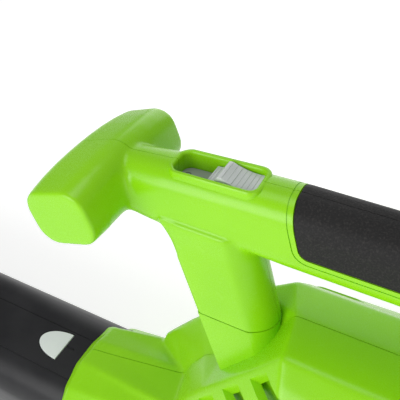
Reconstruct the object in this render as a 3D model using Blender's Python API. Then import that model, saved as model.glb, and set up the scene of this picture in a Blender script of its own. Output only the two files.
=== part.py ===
"""A hand-held cordless leaf blower: a two-shell body with a centrifugal fan, a D-shaped handle with a
T-shaped front grip, a square-round blow tube with a clip-on nozzle, and a slide-in battery.

The tube points to -X, the battery slides in from +X, and the fan turns about Y.
The origin is on the surface that the blower stands on, right below the fan's axis."""

import math

import bmesh
import bpy
from mathutils import Matrix, Vector

# Driving dimensions, in metres.
FIT = 0.0003            # gap between pieces that touch
SLIDE_FIT = 0.0006      # gap between pieces that slide on each other
WALL = 0.0030           # wall of the body and handle shells
FOOT_HEIGHT = 0.008
FOOT_HALF_LENGTH = 0.012
FOOT_SPOTS = (("front_foot", -0.096), ("middle_foot", 0.0), ("rear_foot", 0.088))

FAN_RADIUS = 0.078
FAN_HUB = 0.022
FAN_BLADES = 11
FAN_WIDTH = 0.036
FAN_DISC = 0.0032
FAN_NEAR = -0.042       # the fan's intake side
SHAFT_RADIUS = 0.004
NUT_RADIUS = 0.0080
NUT_LENGTH = 0.0057
INLET_RADIUS = 0.046
TIP_GAP = 0.0056        # between the blades' tips and the scroll
SCROLL_WALL = 0.0024
SCROLL_START = FAN_RADIUS + TIP_GAP + SCROLL_WALL   # the scroll's radius where it begins
SCROLL_GROWTH = 0.024   # what it grows by over three quarters of a turn
SCROLL_LIP = SCROLL_START + 0.012                   # how far the scroll's outlet runs forwards
SCROLL_NEAR = FAN_NEAR - 0.007
SCROLL_FAR = FAN_NEAR + FAN_WIDTH + 0.005
SCROLL_ROOM = 0.005     # under the scroll, inside the body
FAN_HEIGHT = FOOT_HEIGHT + WALL + SCROLL_ROOM + SCROLL_START + SCROLL_GROWTH

COVER_THICKNESS = 0.0028
GRILLE_RADIUS = INLET_RADIUS + 0.012
GRILLE_THICKNESS = 0.0032
GRILLE_PITCH = 0.0105
GRILLE_SLOT = 0.0062

MOTOR_RADIUS = 0.026
MOTOR_LENGTH = 0.040
CAN_WALL = 0.003
BEARING_RADIUS = 0.009
BEARING_LENGTH = 0.0055
BRACKET_THICKNESS = 0.003
BELL_LENGTH = 0.006
MOTOR_START = SCROLL_FAR + 0.0005 + BRACKET_THICKNESS + FIT
MOTOR_END = MOTOR_START + MOTOR_LENGTH

CELL_RADIUS = 0.0091
CELL_LENGTH = 0.065
CELL_PITCH = 2 * CELL_RADIUS + 0.0002
CELL_COLUMNS = 4
CELL_ROWS = 2

BODY_NEAR = FIT + COVER_THICKNESS + GRILLE_THICKNESS + 0.0007 - SCROLL_NEAR     # half width, intake side
BODY_FAR = MOTOR_END + BELL_LENGTH + 0.0112                                     # and the motor's side
BODY_TOP = FAN_HEIGHT + SCROLL_START + 0.078
CREST_HALF = CELL_LENGTH / 2 - 0.0015   # half width of the flat top
BODY_BEVEL = 0.024      # how far the sides' edges are cut back above the fan
LOW_BEVEL = 0.006       # and below it

TUBE_HALF = 0.055
TUBE_CORNER = 0.035
TUBE_WALL = 0.0025
TUBE_FRONT = -0.560
TUBE_REAR = -0.190
COLLAR_MOUTH = -0.237
COLLAR_WALL = 0.0075
TUBE_HEIGHT = FOOT_HEIGHT + COLLAR_WALL + TUBE_HALF + 0.0015    # the tube's axis above the ground
TUBE_TOP = TUBE_HEIGHT + TUBE_HALF
NOZZLE_FRONT = -0.800
NOZZLE_LAP = 0.040
NOZZLE_SHOULDER = 0.012 # how far the nozzle's taper starts ahead of the tube
NOZZLE_HALF_WIDTH = 0.062
NOZZLE_HALF_HEIGHT = 0.020
NOZZLE_DROP = 0.020
BUTTON_X = -0.2580      # the tube button's flat side
BUTTON_Y = -0.0045
BUTTON_LENGTH = 0.0275
BUTTON_HALF = 0.0147
BUTTON_THICKNESS = 0.0054
BUTTON_TRAVEL = 0.0030

GRIP_HALF_WIDTH = 0.0175
GRIP_HALF_HEIGHT = 0.0235
GRIP_CORNER = 0.0145
HAND_ROOM = 0.049       # between the body's top and the grip
GRIP_TOP = BODY_TOP + HAND_ROOM + 2 * GRIP_HALF_HEIGHT
GRIP_CENTRE = GRIP_TOP - GRIP_HALF_HEIGHT
GRIP_START = -0.060
GRIP_END = 0.078
GRIP_PAD = 0.0026
GRIP_STRIP = 0.0175     # height of the strip left bare along the underside
POST_SEAM = BODY_TOP - 0.010
POST_FRONT = -0.1135    # at the seam
POST_REAR = -0.0605
POST_HALF = 0.0185
POST_ROUND = 0.014      # radius of the post's rear side
POST_LEAN = 0.325
POST_TOP = GRIP_TOP - 0.034
COLUMN_X = 0.094
T_HALF = 0.051
T_CENTRE_X = -0.180
T_CENTRE_Z = GRIP_TOP - 0.026
T_TILT = math.radians(20)

POCKET_FRONT = -0.1345
POCKET_REAR = -0.0772
POCKET_HALF = 0.0136
POCKET_RIM = 0.0037
POCKET_DEPTH = 0.0110
RIM_TOP = GRIP_TOP - 0.0017
POCKET_FLOOR = RIM_TOP - POCKET_DEPTH
PLATE_THICKNESS = 0.0022
SLIDER_TRAVEL = 0.018
STEM_X = POCKET_REAR - POCKET_RIM - 0.0148      # the slider's stem
STEM_HALF = 0.004
CARRIAGE_HALF = 0.005
WIRE_X = -0.102

BATTERY_FRONT = 0.074
BATTERY_REAR = BATTERY_FRONT + CELL_COLUMNS * CELL_PITCH + 0.0224
BATTERY_HALF = CELL_LENGTH / 2 + 0.0045
TRAY_HEIGHT = CELL_ROWS * CELL_PITCH + 0.0062
LID_HEIGHT = 0.019
BATTERY_HIGH = BODY_TOP - 0.014
BATTERY_LOW = BATTERY_HIGH - LID_HEIGHT - TRAY_HEIGHT
BAY_GAP = 0.0012
CONTACTS = (-0.014, 0.0, 0.014)
BOARD_HEIGHT = BODY_TOP - 0.045

VENT_ROWS = 3
VENT_STEP = 0.0255
VENT_LENGTH = 0.060
VENT_HEIGHT = 0.0146
VENT_INNER = 0.035      # how near the middle plane the slots come
VENT_TOP = BODY_TOP - 0.024

SCREW_RADIUS = 0.0020
SCREW_HEAD = 0.0037
SCREW_HEAD_HEIGHT = 0.0026
SCREW_SEAT = 0.016      # where a screw's head sits, from the middle plane
SCREW_REACH = 0.013     # how far its point goes past it
BOSS_RADIUS = 0.0055
SCREW_SPOTS = [(-0.062, VENT_TOP - VENT_STEP / 2), (0.045, BODY_TOP - 0.028),
               (SCROLL_START + 0.040, BATTERY_LOW - 0.038),
               (SCROLL_START + 0.026, FOOT_HEIGHT + 0.028), (-SCROLL_LIP - 0.052, TUBE_TOP + 0.012)]
HANDLE_SPOTS = [(T_CENTRE_X + 0.030, T_CENTRE_Z - 0.003), (POST_FRONT + 0.0215, BODY_TOP + 0.010),
                (GRIP_START - 0.010, POST_TOP), (COLUMN_X, BODY_TOP + 0.028)]
SMOOTH_ANGLE = math.radians(35)

for leftover in list(bpy.data.objects):
    bpy.data.objects.remove(leftover, do_unlink=True)

PARTS = bpy.data.collections.new("leaf_blower")
CUTTERS = bpy.data.collections.new("cutters")
bpy.context.scene.collection.children.link(PARTS)
bpy.context.scene.collection.children.link(CUTTERS)


def finish(name, color, roughness, metallic=0.0):
    """A material with one Principled shader."""
    material = bpy.data.materials.new(name)
    material.use_nodes = True
    shader = material.node_tree.nodes["Principled BSDF"]
    shader.inputs["Base Color"].default_value = (*color, 1.0)
    shader.inputs["Roughness"].default_value = roughness
    shader.inputs["Metallic"].default_value = metallic
    return material


GREEN = finish("green_plastic", (0.27, 0.62, 0.02), 0.38)
BLACK = finish("black_plastic", (0.02, 0.02, 0.022), 0.35)
RUBBER = finish("grip_rubber", (0.018, 0.018, 0.018), 0.75)
GREY = finish("grey_plastic", (0.33, 0.35, 0.34), 0.5)
PALE = finish("pale_plastic", (0.62, 0.65, 0.63), 0.4)
STEEL = finish("steel", (0.6, 0.6, 0.6), 0.3, 1.0)
ALLOY = finish("alloy", (0.75, 0.75, 0.77), 0.35, 1.0)
BRASS = finish("brass", (0.8, 0.6, 0.3), 0.3, 1.0)
BOARD = finish("circuit_board", (0.02, 0.16, 0.05), 0.5)
CELL_WRAP = finish("cell_wrap", (0.05, 0.18, 0.45), 0.4)
LEAD = finish("lead_insulation", (0.5, 0.02, 0.02), 0.5)


def make_object(name, bm, material=None):
    """A mesh object in the parts, or among the cutters when it has no material."""
    bmesh.ops.recalc_face_normals(bm, faces=bm.faces)
    mesh = bpy.data.meshes.new(name)
    bm.to_mesh(mesh)
    bm.free()
    made = bpy.data.objects.new(name, mesh)
    if material is None:
        CUTTERS.objects.link(made)
        made.hide_render = True
        made.display_type = "WIRE"
    else:
        PARTS.objects.link(made)
        mesh.materials.append(material)
        mesh.shade_smooth()
        mesh.set_sharp_from_angle(angle=SMOOTH_ANGLE)
    return made


def box(name, low, high, material=None, rounding=0.0):
    """A box between two corners, with its edges rounded."""
    bm = bmesh.new()
    low, high = Vector(low), Vector(high)
    bmesh.ops.create_cube(bm, size=1.0)
    bmesh.ops.scale(bm, vec=high - low, verts=bm.verts)
    bmesh.ops.translate(bm, vec=(low + high) / 2, verts=bm.verts)
    if rounding:
        bmesh.ops.bevel(bm, geom=bm.edges[:], offset=rounding, segments=1, affect="EDGES", profile=0.5)
    return make_object(name, bm, material)


def turning(axis):
    """The rotation that takes Z to an axis."""
    return Vector((0, 0, 1)).rotation_difference(Vector(axis)).to_matrix().to_4x4()


def cylinder(name, base, axis, radius, length, material=None, segments=24, tip=None):
    """A cylinder or a cone that starts at base and runs along axis."""
    bm = bmesh.new()
    bmesh.ops.create_cone(bm, cap_ends=True, segments=segments, radius1=radius,
                          radius2=radius if tip is None else tip, depth=length)
    bmesh.ops.translate(bm, vec=(0, 0, length / 2), verts=bm.verts)
    bmesh.ops.transform(bm, matrix=Matrix.Translation(base) @ turning(axis), verts=bm.verts)
    return make_object(name, bm, material)


def spin_profile(bm, profile, place, steps):
    """Turns a profile of (radius, height) about Z, then puts it in its place.

    A profile that starts and ends on the axis gives a solid, and any other one a closed ring."""
    corners = [bm.verts.new((radius, 0, height)) for radius, height in profile]
    pairs = list(zip(corners, corners[1:]))
    if profile[0][0] > 0:
        pairs.append((corners[-1], corners[0]))
    edges = [bm.edges.new(pair) for pair in pairs]
    bmesh.ops.spin(bm, geom=corners + edges, axis=(0, 0, 1), cent=(0, 0, 0), steps=steps,
                   angle=math.tau, use_merge=True)
    points = [vert for vert in bm.verts if not vert.tag]
    bmesh.ops.remove_doubles(bm, verts=points, dist=0.000001)
    points = [vert for vert in bm.verts if not vert.tag]
    bmesh.ops.transform(bm, matrix=place, verts=points)
    for vert in points:
        vert.tag = True


def turned(name, base, axis, profile, material=None, steps=24):
    """A ring or a stepped shaft along an axis from base."""
    bm = bmesh.new()
    spin_profile(bm, profile, Matrix.Translation(base) @ turning(axis), steps)
    return make_object(name, bm, material)


def prism(name, outline, low, high, material=None):
    """An outline in X and Z, extruded from Y = low to Y = high."""
    bm = bmesh.new()
    face = bm.faces.new([bm.verts.new((x, low, z)) for x, z in outline])
    grown = bmesh.ops.extrude_face_region(bm, geom=[face])["geom"]
    moved = [item for item in grown if isinstance(item, bmesh.types.BMVert)]
    bmesh.ops.translate(bm, vec=(0, high - low, 0), verts=moved)
    return make_object(name, bm, material)


def loft(name, sections, material=None):
    """A closed skin over sections that have the same number of points."""
    bm = bmesh.new()
    rings = [[bm.verts.new(point) for point in section] for section in sections]
    for near, far in zip(rings, rings[1:]):
        for i, corner in enumerate(near):
            j = (i + 1) % len(near)
            bm.faces.new((corner, near[j], far[j], far[i]))
    bm.faces.new(rings[0][::-1])
    bm.faces.new(rings[-1])
    bmesh.ops.recalc_face_normals(bm, faces=bm.faces)
    bmesh.ops.triangulate(bm, faces=bm.faces)
    return make_object(name, bm, material)


def combine(target, other, operation="DIFFERENCE", solver="EXACT"):
    """Cuts or joins the target with another mesh, which stays among the cutters."""
    modifier = target.modifiers.new(operation.lower() + "_" + other.name, "BOOLEAN")
    modifier.operation = operation
    modifier.solver = solver
    modifier.object = other
    return target


def rounded(half_u, half_v, corner, steps=3):
    """The points of a rounded rectangle about the origin, in two axes."""
    points = []
    for turn, (side_u, side_v) in enumerate(((1, 1), (-1, 1), (-1, -1), (1, -1))):
        for step in range(steps + 1):
            angle = math.radians(90) * (turn + step / steps)
            points.append((side_u * (half_u - corner) + corner * math.cos(angle),
                           side_v * (half_v - corner) + corner * math.sin(angle)))
    return points


def across_x(x, centre_z, half_y, half_z, corner, steps=3):
    """A rounded section in the plane of one X."""
    return [(x, y, centre_z + z) for y, z in rounded(half_y, half_z, corner, steps)]


# The body: outlines in X and Z at the intake side, the middle and the motor's side.
LOW = FOOT_HEIGHT
BROW = BODY_TOP - 0.028     # where the flat top starts to fall away
SHOULDER = BODY_TOP - 0.095
REAR = [(SCROLL_START + 0.026, LOW), (SCROLL_START + 0.054, FAN_HEIGHT - 0.066),
        (SCROLL_START + 0.062, FAN_HEIGHT + 0.014), (BATTERY_REAR + 0.002, BATTERY_LOW - 0.018),
        (BATTERY_REAR + 0.004, BROW), (BATTERY_REAR - 0.012, BODY_TOP)]
NEAR_SIDE = [(-SCROLL_LIP - 0.010, LOW), *REAR, (-0.048, BODY_TOP), (-0.066, BROW),
             (-SCROLL_LIP - 0.002, BROW - 0.047), (-SCROLL_LIP - 0.022, FAN_HEIGHT + 0.034),
             (-SCROLL_LIP - 0.032, FAN_HEIGHT - 0.026), (-SCROLL_LIP - 0.028, LOW + 0.032)]
MIDDLE = [(-SCROLL_LIP - 0.014, LOW), *REAR, (-0.050, BODY_TOP), (-0.064, BROW + 0.004),
          (-SCROLL_LIP + 0.002, BROW - 0.041), (-SCROLL_LIP - 0.030, FAN_HEIGHT + 0.046),
          (-SCROLL_LIP - 0.052, FAN_HEIGHT - 0.016), (-SCROLL_LIP - 0.042, LOW + 0.032)]
FAR_SIDE = [(-SCROLL_LIP - 0.014, LOW), *REAR, (-0.060, BODY_TOP), (-0.090, BROW),
            (-SCROLL_LIP - 0.034, BROW - 0.053), (-SCROLL_LIP - 0.064, FAN_HEIGHT + 0.038),
            (-SCROLL_LIP - 0.080, FAN_HEIGHT - 0.016), (-SCROLL_LIP - 0.052, LOW + 0.032)]
BODY_CENTRE = (0.010, FAN_HEIGHT + 0.014)


def body(name, inset, material=None):
    """The body's outer shape, or its hollow when it is inset."""
    def ring(outline, y, cut=False):
        points = []
        for x, z in outline:
            bevel = (BODY_BEVEL if z > SHOULDER else LOW_BEVEL) if cut else 0
            away = Vector((x - BODY_CENTRE[0], z - BODY_CENTRE[1]))
            away *= 1 - (inset + bevel) / away.length
            points.append((BODY_CENTRE[0] + away.x, y, BODY_CENTRE[1] + away.y))
        return points
    return loft(name, [
        ring(NEAR_SIDE, -BODY_NEAR + inset, True), ring(NEAR_SIDE, -CREST_HALF), ring(MIDDLE, 0),
        ring(FAR_SIDE, CREST_HALF), ring(FAR_SIDE, BODY_FAR - inset, True)], material)


def throat(name, grow, front, rear, flare, material=None):
    """The square-round throat that the blow tube plugs into."""
    half = TUBE_HALF + SLIDE_FIT + grow
    corner = TUBE_CORNER + grow
    return loft(name, [
        across_x(front, TUBE_HEIGHT, half, half, corner, 3),
        across_x(rear, TUBE_HEIGHT + flare, half, half + flare, corner, 3)], material)


def post_section(z, grow=0.0):
    """The post's section at a height: flat on both sides, round at the rear, leaning forwards."""
    lean = (POST_SEAM - z) * POST_LEAN
    front = POST_FRONT + lean - grow
    rear = POST_REAR + lean * 0.86 + grow
    half = POST_HALF + grow
    outline = [(front, half * 0.55), (front, -half * 0.55), (front + 0.006, -half),
               (rear - POST_ROUND, -half)]
    outline += [(rear - POST_ROUND + POST_ROUND * math.cos(angle), half * math.sin(angle))
                for angle in map(math.radians, (-50, -15, 15, 50))]
    outline += [(rear - POST_ROUND, half), (front + 0.006, half)]
    return [(x, y, z) for x, y in outline]


def grip_section(x, centre_z, half_z, inset=0.0):
    """The handle's section at one X."""
    return across_x(x, centre_z, GRIP_HALF_WIDTH - inset, half_z - inset, GRIP_CORNER - inset, 3)


def t_section(y):
    """The front grip's section at one Y: tilted, and drooping a little to its ends."""
    share = abs(y) / T_HALF
    scale = 1.0 - 0.10 * share ** 3
    droop = 0.003 * share ** 2
    points = []
    for u, v in rounded(0.0245 * scale, 0.0200 * scale, 0.0140 * scale, 3):
        points.append((T_CENTRE_X + u * math.cos(T_TILT) - v * math.sin(T_TILT), y,
                       T_CENTRE_Z - droop + u * math.sin(T_TILT) + v * math.cos(T_TILT)))
    return points


def handle_half(name, side):
    """One shell of the handle: front grip, neck, switch rim, post, main grip and rear column."""
    half = loft(name, [
        grip_section(T_CENTRE_X + 0.012, T_CENTRE_Z, GRIP_HALF_HEIGHT - 0.005),
        grip_section(T_CENTRE_X + 0.045, T_CENTRE_Z, GRIP_HALF_HEIGHT - 0.001),
        grip_section(GRIP_START - 0.020, GRIP_CENTRE, GRIP_HALF_HEIGHT - 0.0008),
        grip_section(GRIP_START, GRIP_CENTRE, GRIP_HALF_HEIGHT),
        grip_section(GRIP_END, GRIP_CENTRE, GRIP_HALF_HEIGHT),
        grip_section(COLUMN_X + 0.018, GRIP_CENTRE - 0.006, GRIP_HALF_HEIGHT - 0.005)], GREEN)
    combine(half, loft(name + "_front_grip", [
        t_section(y * T_HALF) for y in (-1, -0.93, -0.5, 0, 0.5, 0.93, 1)]), "UNION")
    combine(half, loft(name + "_post", [
        post_section(POST_SEAM + FIT), post_section(POST_TOP - 0.017), post_section(POST_TOP, 0.003)]),
            "UNION")
    combine(half, loft(name + "_column", [
        [(COLUMN_X + x, y, BODY_TOP + FIT) for x, y in rounded(0.0210, 0.0185, 0.008)],
        [(COLUMN_X - 0.002 + x, y, POST_TOP) for x, y in rounded(0.0210, 0.0168, 0.008)]]), "UNION")
    hollow_handle(half, name)
    combine(half, box(name + "_rim", (POCKET_FRONT, -POCKET_HALF, GRIP_TOP - 0.016),
                      (POCKET_REAR, POCKET_HALF, RIM_TOP), None, 0.0030), "UNION")
    combine(half, box(name + "_pocket",
                      (POCKET_FRONT + POCKET_RIM, -POCKET_HALF + POCKET_RIM,
                       POCKET_FLOOR - PLATE_THICKNESS - 0.0004),
                      (POCKET_REAR - POCKET_RIM, POCKET_HALF - POCKET_RIM, RIM_TOP + 0.01)))
    combine(half, box(name + "_well",
                      (STEM_X - CARRIAGE_HALF - SLIDER_TRAVEL - 0.002, -0.0065,
                       POCKET_FLOOR - 0.020),
                      (STEM_X + CARRIAGE_HALF + 0.002, 0.0065, POCKET_FLOOR)))
    combine(half, grip_sleeve(name + "_pad_seat", FIT))
    combine(half, wire_way(name + "_wire_way"))
    combine(half, screw_holes(name + "_screw_holes", HANDLE_SPOTS))
    return keep_side(half, side)


def hollow_handle(half, name):
    """Leaves walls round the front grip, the main grip and the post, and bosses for their screws."""
    combine(half, loft(name + "_grip_hollow", [
        grip_section(GRIP_START + 0.006, GRIP_CENTRE, GRIP_HALF_HEIGHT, WALL + GRIP_PAD),
        grip_section(GRIP_END - 0.004, GRIP_CENTRE, GRIP_HALF_HEIGHT, WALL + GRIP_PAD)]))
    share = 1 - WALL / 0.018
    hollow = []
    for y in (-0.93, -0.5, 0, 0.5, 0.93):
        section = t_section(y * T_HALF)
        middle = sum((Vector(point) for point in section), Vector()) / len(section)
        hollow.append([middle + (Vector(point) - middle) * share for point in section])
    combine(half, loft(name + "_front_hollow", hollow))
    combine(half, loft(name + "_post_hollow", [post_section(POST_SEAM - 0.01, -WALL),
                                         post_section(POST_TOP - 0.014, -WALL)]))
    x, z = HANDLE_SPOTS[1]
    combine(half, cylinder(name + "_boss", (x, 0.002 - POST_HALF, z), (0, 1, 0), BOSS_RADIUS,
                           2 * POST_HALF - 0.004, None, 12), "UNION")


def keep_side(target, side):
    """Leaves one side of the middle plane, half a gap away from it."""
    low, high = ((-FIT / 2, 0.2) if side < 0 else (-0.2, FIT / 2))
    return combine(target, box(target.name + "_other_side", (-1, low, -0.1), (1, high, 1)))


def grip_sleeve(name, gap=0.0, material=None):
    """The soft pad's volume round the grip, bare along its underside."""
    start, end = GRIP_START - gap, GRIP_END + gap
    sleeve = loft(name, [grip_section(start, GRIP_CENTRE, GRIP_HALF_HEIGHT, -gap - 0.0001 * bool(gap)),
                         grip_section(end, GRIP_CENTRE, GRIP_HALF_HEIGHT, -gap - 0.0001 * bool(gap))],
                  material)
    inner = loft(name + "_core", [
        grip_section(start - 0.01, GRIP_CENTRE, GRIP_HALF_HEIGHT, GRIP_PAD + gap),
        grip_section(end + 0.01, GRIP_CENTRE, GRIP_HALF_HEIGHT, GRIP_PAD + gap)])
    combine(sleeve, inner)
    floor = GRIP_TOP - 2 * GRIP_HALF_HEIGHT + GRIP_STRIP - gap
    combine(sleeve, box(name + "_strip", (start - 0.01, -0.03, floor - 0.02), (end + 0.01, 0.03, floor)))
    return sleeve


def wire_way(name):
    """The channel for the wires, from the switch well down through the post."""
    return box(name, (WIRE_X - 0.004, -0.0045, BODY_TOP - 0.090),
               (WIRE_X + 0.004, 0.0045, T_CENTRE_Z + 0.002))


def screw_holes(name, spots):
    """The clearance holes of the screws, and of their heads from the motor's side."""
    bm = bmesh.new()
    outside = BODY_FAR + 0.020
    narrow, wide = SCREW_RADIUS + FIT, SCREW_HEAD + FIT
    step = outside - SCREW_SEAT + SCREW_HEAD_HEIGHT + FIT
    end = outside + SCREW_REACH + 0.001
    for x, z in spots:
        spin_profile(bm, [(0, end), (narrow, end), (narrow, step), (wide, step), (wide, 0), (0, 0)],
                     Matrix.Translation((x, outside, z)) @ turning((0, -1, 0)), 12)
    return make_object(name, bm)


def housing_half(name, side):
    """One shell of the body with its half of the throat, the post's stub and the screw bosses."""
    half = body(name, 0, GREEN)
    combine(half, throat(name + "_throat", COLLAR_WALL, COLLAR_MOUTH, -SCROLL_LIP - 0.007, 0.020),
            "UNION")
    combine(half, loft(name + "_stub", [post_section(POST_SEAM - 0.075), post_section(POST_SEAM)]), "UNION")
    combine(half, body(name + "_hollow", WALL))
    combine(half, throat(name + "_bore", 0.0, COLLAR_MOUTH - 0.01, TUBE_REAR + 0.004, 0.0))
    combine(half, throat(name + "_duct", -0.004, TUBE_REAR, -SCROLL_LIP - 0.012, 0.008))
    low, high = (-BODY_NEAR + 0.001, 0) if side < 0 else (0, BODY_FAR - 0.001)
    for i, (x, z) in enumerate(SCREW_SPOTS[:-1]):
        combine(half, cylinder(f"{name}_boss_{i}", (x, low, z), (0, 1, 0), BOSS_RADIUS, high - low,
                               None, 12), "UNION")
    combine(half, box(name + "_battery_opening",
                      (BATTERY_REAR - 0.020, -BATTERY_HALF - BAY_GAP, BATTERY_LOW - BAY_GAP),
                      (BATTERY_REAR + 0.02, BATTERY_HALF + BAY_GAP, BATTERY_HIGH + BAY_GAP)))
    combine(half, wire_way(name + "_wire_way"))
    combine(half, box(name + "_column_way", (COLUMN_X - 0.006, -0.006, BODY_TOP - 0.02),
                      (COLUMN_X + 0.006, 0.006, BODY_TOP + 0.04)))
    combine(half, screw_holes(name + "_screw_holes", SCREW_SPOTS))
    if side < 0:
        combine(half, cylinder(name + "_intake", (0, -BODY_NEAR - 0.01, FAN_HEIGHT), (0, 1, 0),
                               GRILLE_RADIUS + FIT, 0.02, None, 36))
    # The exact solver loses the shell on this many slots, and both meshes are closed.
    combine(half, vents(name + "_vents", side), "DIFFERENCE", "MANIFOLD")
    return keep_side(half, side)


def vents(name, side):
    """The air slots through the upper bevel of the body, each further forwards than the one above it."""
    bm = bmesh.new()
    outer = BODY_FAR + 0.020
    for row in range(VENT_ROWS):
        end = -0.018 - row * 0.017
        place = (end - VENT_LENGTH / 2, side * (VENT_INNER + outer) / 2, VENT_TOP - row * VENT_STEP)
        size = Matrix.Diagonal((VENT_LENGTH, outer - VENT_INNER, VENT_HEIGHT, 1))
        bmesh.ops.create_cube(bm, size=1.0, matrix=Matrix.Translation(place) @ size)
    return make_object(name, bm)


def scroll_outline(radius, steps=26):
    """The spiral from the cut-off at the front, over the top and the rear, to the bottom."""
    points = []
    for step in range(steps + 1):
        share = step / steps
        angle = math.radians(180 - 270 * share)
        reach = radius + SCROLL_GROWTH * share
        points.append((reach * math.cos(angle), FAN_HEIGHT + reach * math.sin(angle)))
    return points


def scroll():
    """The spiral wall round the fan, open towards the throat, and its cover with the fan's inlet."""
    outer = scroll_outline(SCROLL_START)
    inner = scroll_outline(SCROLL_START - SCROLL_WALL)
    bottom = FAN_HEIGHT - SCROLL_START - SCROLL_GROWTH
    lip = [(-SCROLL_LIP, bottom), (-SCROLL_LIP, bottom + SCROLL_WALL)]
    prism("scroll_wall", outer + lip + inner[::-1], SCROLL_NEAR, SCROLL_FAR, GREY)
    cover = prism("scroll_cover", outer + [lip[0], (-SCROLL_LIP, FAN_HEIGHT)],
                  SCROLL_NEAR - FIT - COVER_THICKNESS,
                  SCROLL_NEAR - FIT, GREY)
    combine(cover, cylinder("scroll_inlet", (0, SCROLL_NEAR - 0.01, FAN_HEIGHT), (0, 1, 0), INLET_RADIUS,
                            0.02,
                            None, 32))


def fan():
    """The centrifugal fan: a back disc, a hub and blades that lean back."""
    outline = []
    for blade in range(FAN_BLADES):
        start = math.tau * blade / FAN_BLADES
        for radius, turn in ((FAN_HUB, 0), (FAN_RADIUS * 0.6, -0.10), (FAN_RADIUS, -0.32),
                             (FAN_RADIUS, -0.29), (FAN_RADIUS * 0.6, -0.055), (FAN_HUB, 0.10),
                             (FAN_HUB, 0.36)):
            angle = start + turn
            outline.append((radius * math.cos(angle), FAN_HEIGHT + radius * math.sin(angle)))
    blades = prism("fan_impeller", outline, FAN_NEAR, FAN_NEAR + FAN_WIDTH, ALLOY)
    combine(blades, cylinder("fan_disc", (0, FAN_NEAR + FAN_WIDTH + 0.0002 - FAN_DISC, FAN_HEIGHT), (0, 1, 0),
                             FAN_RADIUS, FAN_DISC, None, 44), "UNION")
    return combine(blades, cylinder("fan_bore", (0, FAN_NEAR - 0.01, FAN_HEIGHT), (0, 1, 0),
                                    SHAFT_RADIUS + FIT / 2, 0.06, None, 16))


def motor():
    """The fan's motor: bracket, can, magnets' rotor, shaft, bearings and end bell."""
    y = MOTOR_START - FIT - BRACKET_THICKNESS
    bracket = cylinder("motor_bracket", (0, y, FAN_HEIGHT), (0, 1, 0), SCROLL_START - 0.004,
                       BRACKET_THICKNESS,
                       GREY, 44)
    combine(bracket, cylinder("bracket_hole", (0, y - 0.01, FAN_HEIGHT), (0, 1, 0), BEARING_RADIUS + 0.002,
                              0.03,
                              None, 20))
    reach = SCROLL_START - 0.016
    for i, (x, z) in enumerate(((reach, 0.0), (-reach, 0.0), (0.0, reach))):
        combine(bracket, cylinder(f"bracket_leg_{i}", (x, y + 0.002, FAN_HEIGHT + z), (0, 1, 0), 0.005,
                                  BODY_FAR - WALL - y - 0.010, None, 10), "UNION")
    can, seat = MOTOR_RADIUS, BEARING_RADIUS + FIT
    turned("motor_can", (0, MOTOR_START, FAN_HEIGHT), (0, 1, 0),
           [(can, MOTOR_LENGTH), (can, 0), (seat, 0), (seat, BEARING_LENGTH + 0.001),
            (can - CAN_WALL, BEARING_LENGTH + 0.001), (can - CAN_WALL, MOTOR_LENGTH)], STEEL, 32)
    turned("motor_end_bell", (0, MOTOR_END + FIT, FAN_HEIGHT), (0, 1, 0),
           [(can, BELL_LENGTH), (can, 0), (can - CAN_WALL - FIT, 0), (can - CAN_WALL - FIT, -0.002),
            (seat, -0.002),
            (seat, BELL_LENGTH)], GREY, 32)
    for name, place in (("front_bearing", MOTOR_START + 0.0003), ("rear_bearing", MOTOR_END - 0.0002)):
        turned(name, (0, place, FAN_HEIGHT), (0, 1, 0),
               [(BEARING_RADIUS, BEARING_LENGTH), (BEARING_RADIUS, 0), (SHAFT_RADIUS + FIT, 0),
                (SHAFT_RADIUS + FIT, BEARING_LENGTH)], STEEL, 20)
    shaft_start = FAN_NEAR - 0.0075
    cylinder("motor_shaft", (0, shaft_start, FAN_HEIGHT), (0, 1, 0), SHAFT_RADIUS - FIT / 2,
             MOTOR_END + 0.007 - shaft_start, STEEL, 16)
    rotor, rotor_length = can - CAN_WALL - 0.0025, MOTOR_LENGTH - 0.018
    turned("motor_rotor", (0, MOTOR_START + 0.009, FAN_HEIGHT), (0, 1, 0),
           [(rotor, rotor_length), (rotor, 0), (SHAFT_RADIUS + FIT / 2, 0),
            (SHAFT_RADIUS + FIT / 2, rotor_length)], STEEL, 24)
    # The nut's bore has as few sides as the nut, so it is opened to clear the shaft at its flats.
    nut_bore = SHAFT_RADIUS / math.cos(math.pi / 6) + FIT
    turned("fan_nut", (0, FAN_NEAR - FIT - NUT_LENGTH, FAN_HEIGHT), (0, 1, 0),
           [(NUT_RADIUS, NUT_LENGTH), (NUT_RADIUS, 0), (nut_bore, 0), (nut_bore, NUT_LENGTH)], BRASS, 6)


def intake_grille():
    """The round guard over the fan's inlet."""
    grille = cylinder("intake_grille", (0, -BODY_NEAR, FAN_HEIGHT), (0, 1, 0), GRILLE_RADIUS,
                      GRILLE_THICKNESS,
                      BLACK, 36)
    bm = bmesh.new()
    rows = int((INLET_RADIUS - 0.002) / GRILLE_PITCH)
    for row in range(-rows, rows + 1):
        z = row * GRILLE_PITCH
        half = math.sqrt(INLET_RADIUS ** 2 - z ** 2)
        for side in (-1, 1):
            place = Matrix.Translation((side * (half / 2 + 0.0015), -BODY_NEAR, FAN_HEIGHT + z))
            size = Matrix.Diagonal((half - 0.003, 0.02, GRILLE_SLOT, 1))
            bmesh.ops.create_cube(bm, size=1.0, matrix=place @ size)
    return combine(grille, make_object("grille_slots", bm))


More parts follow.
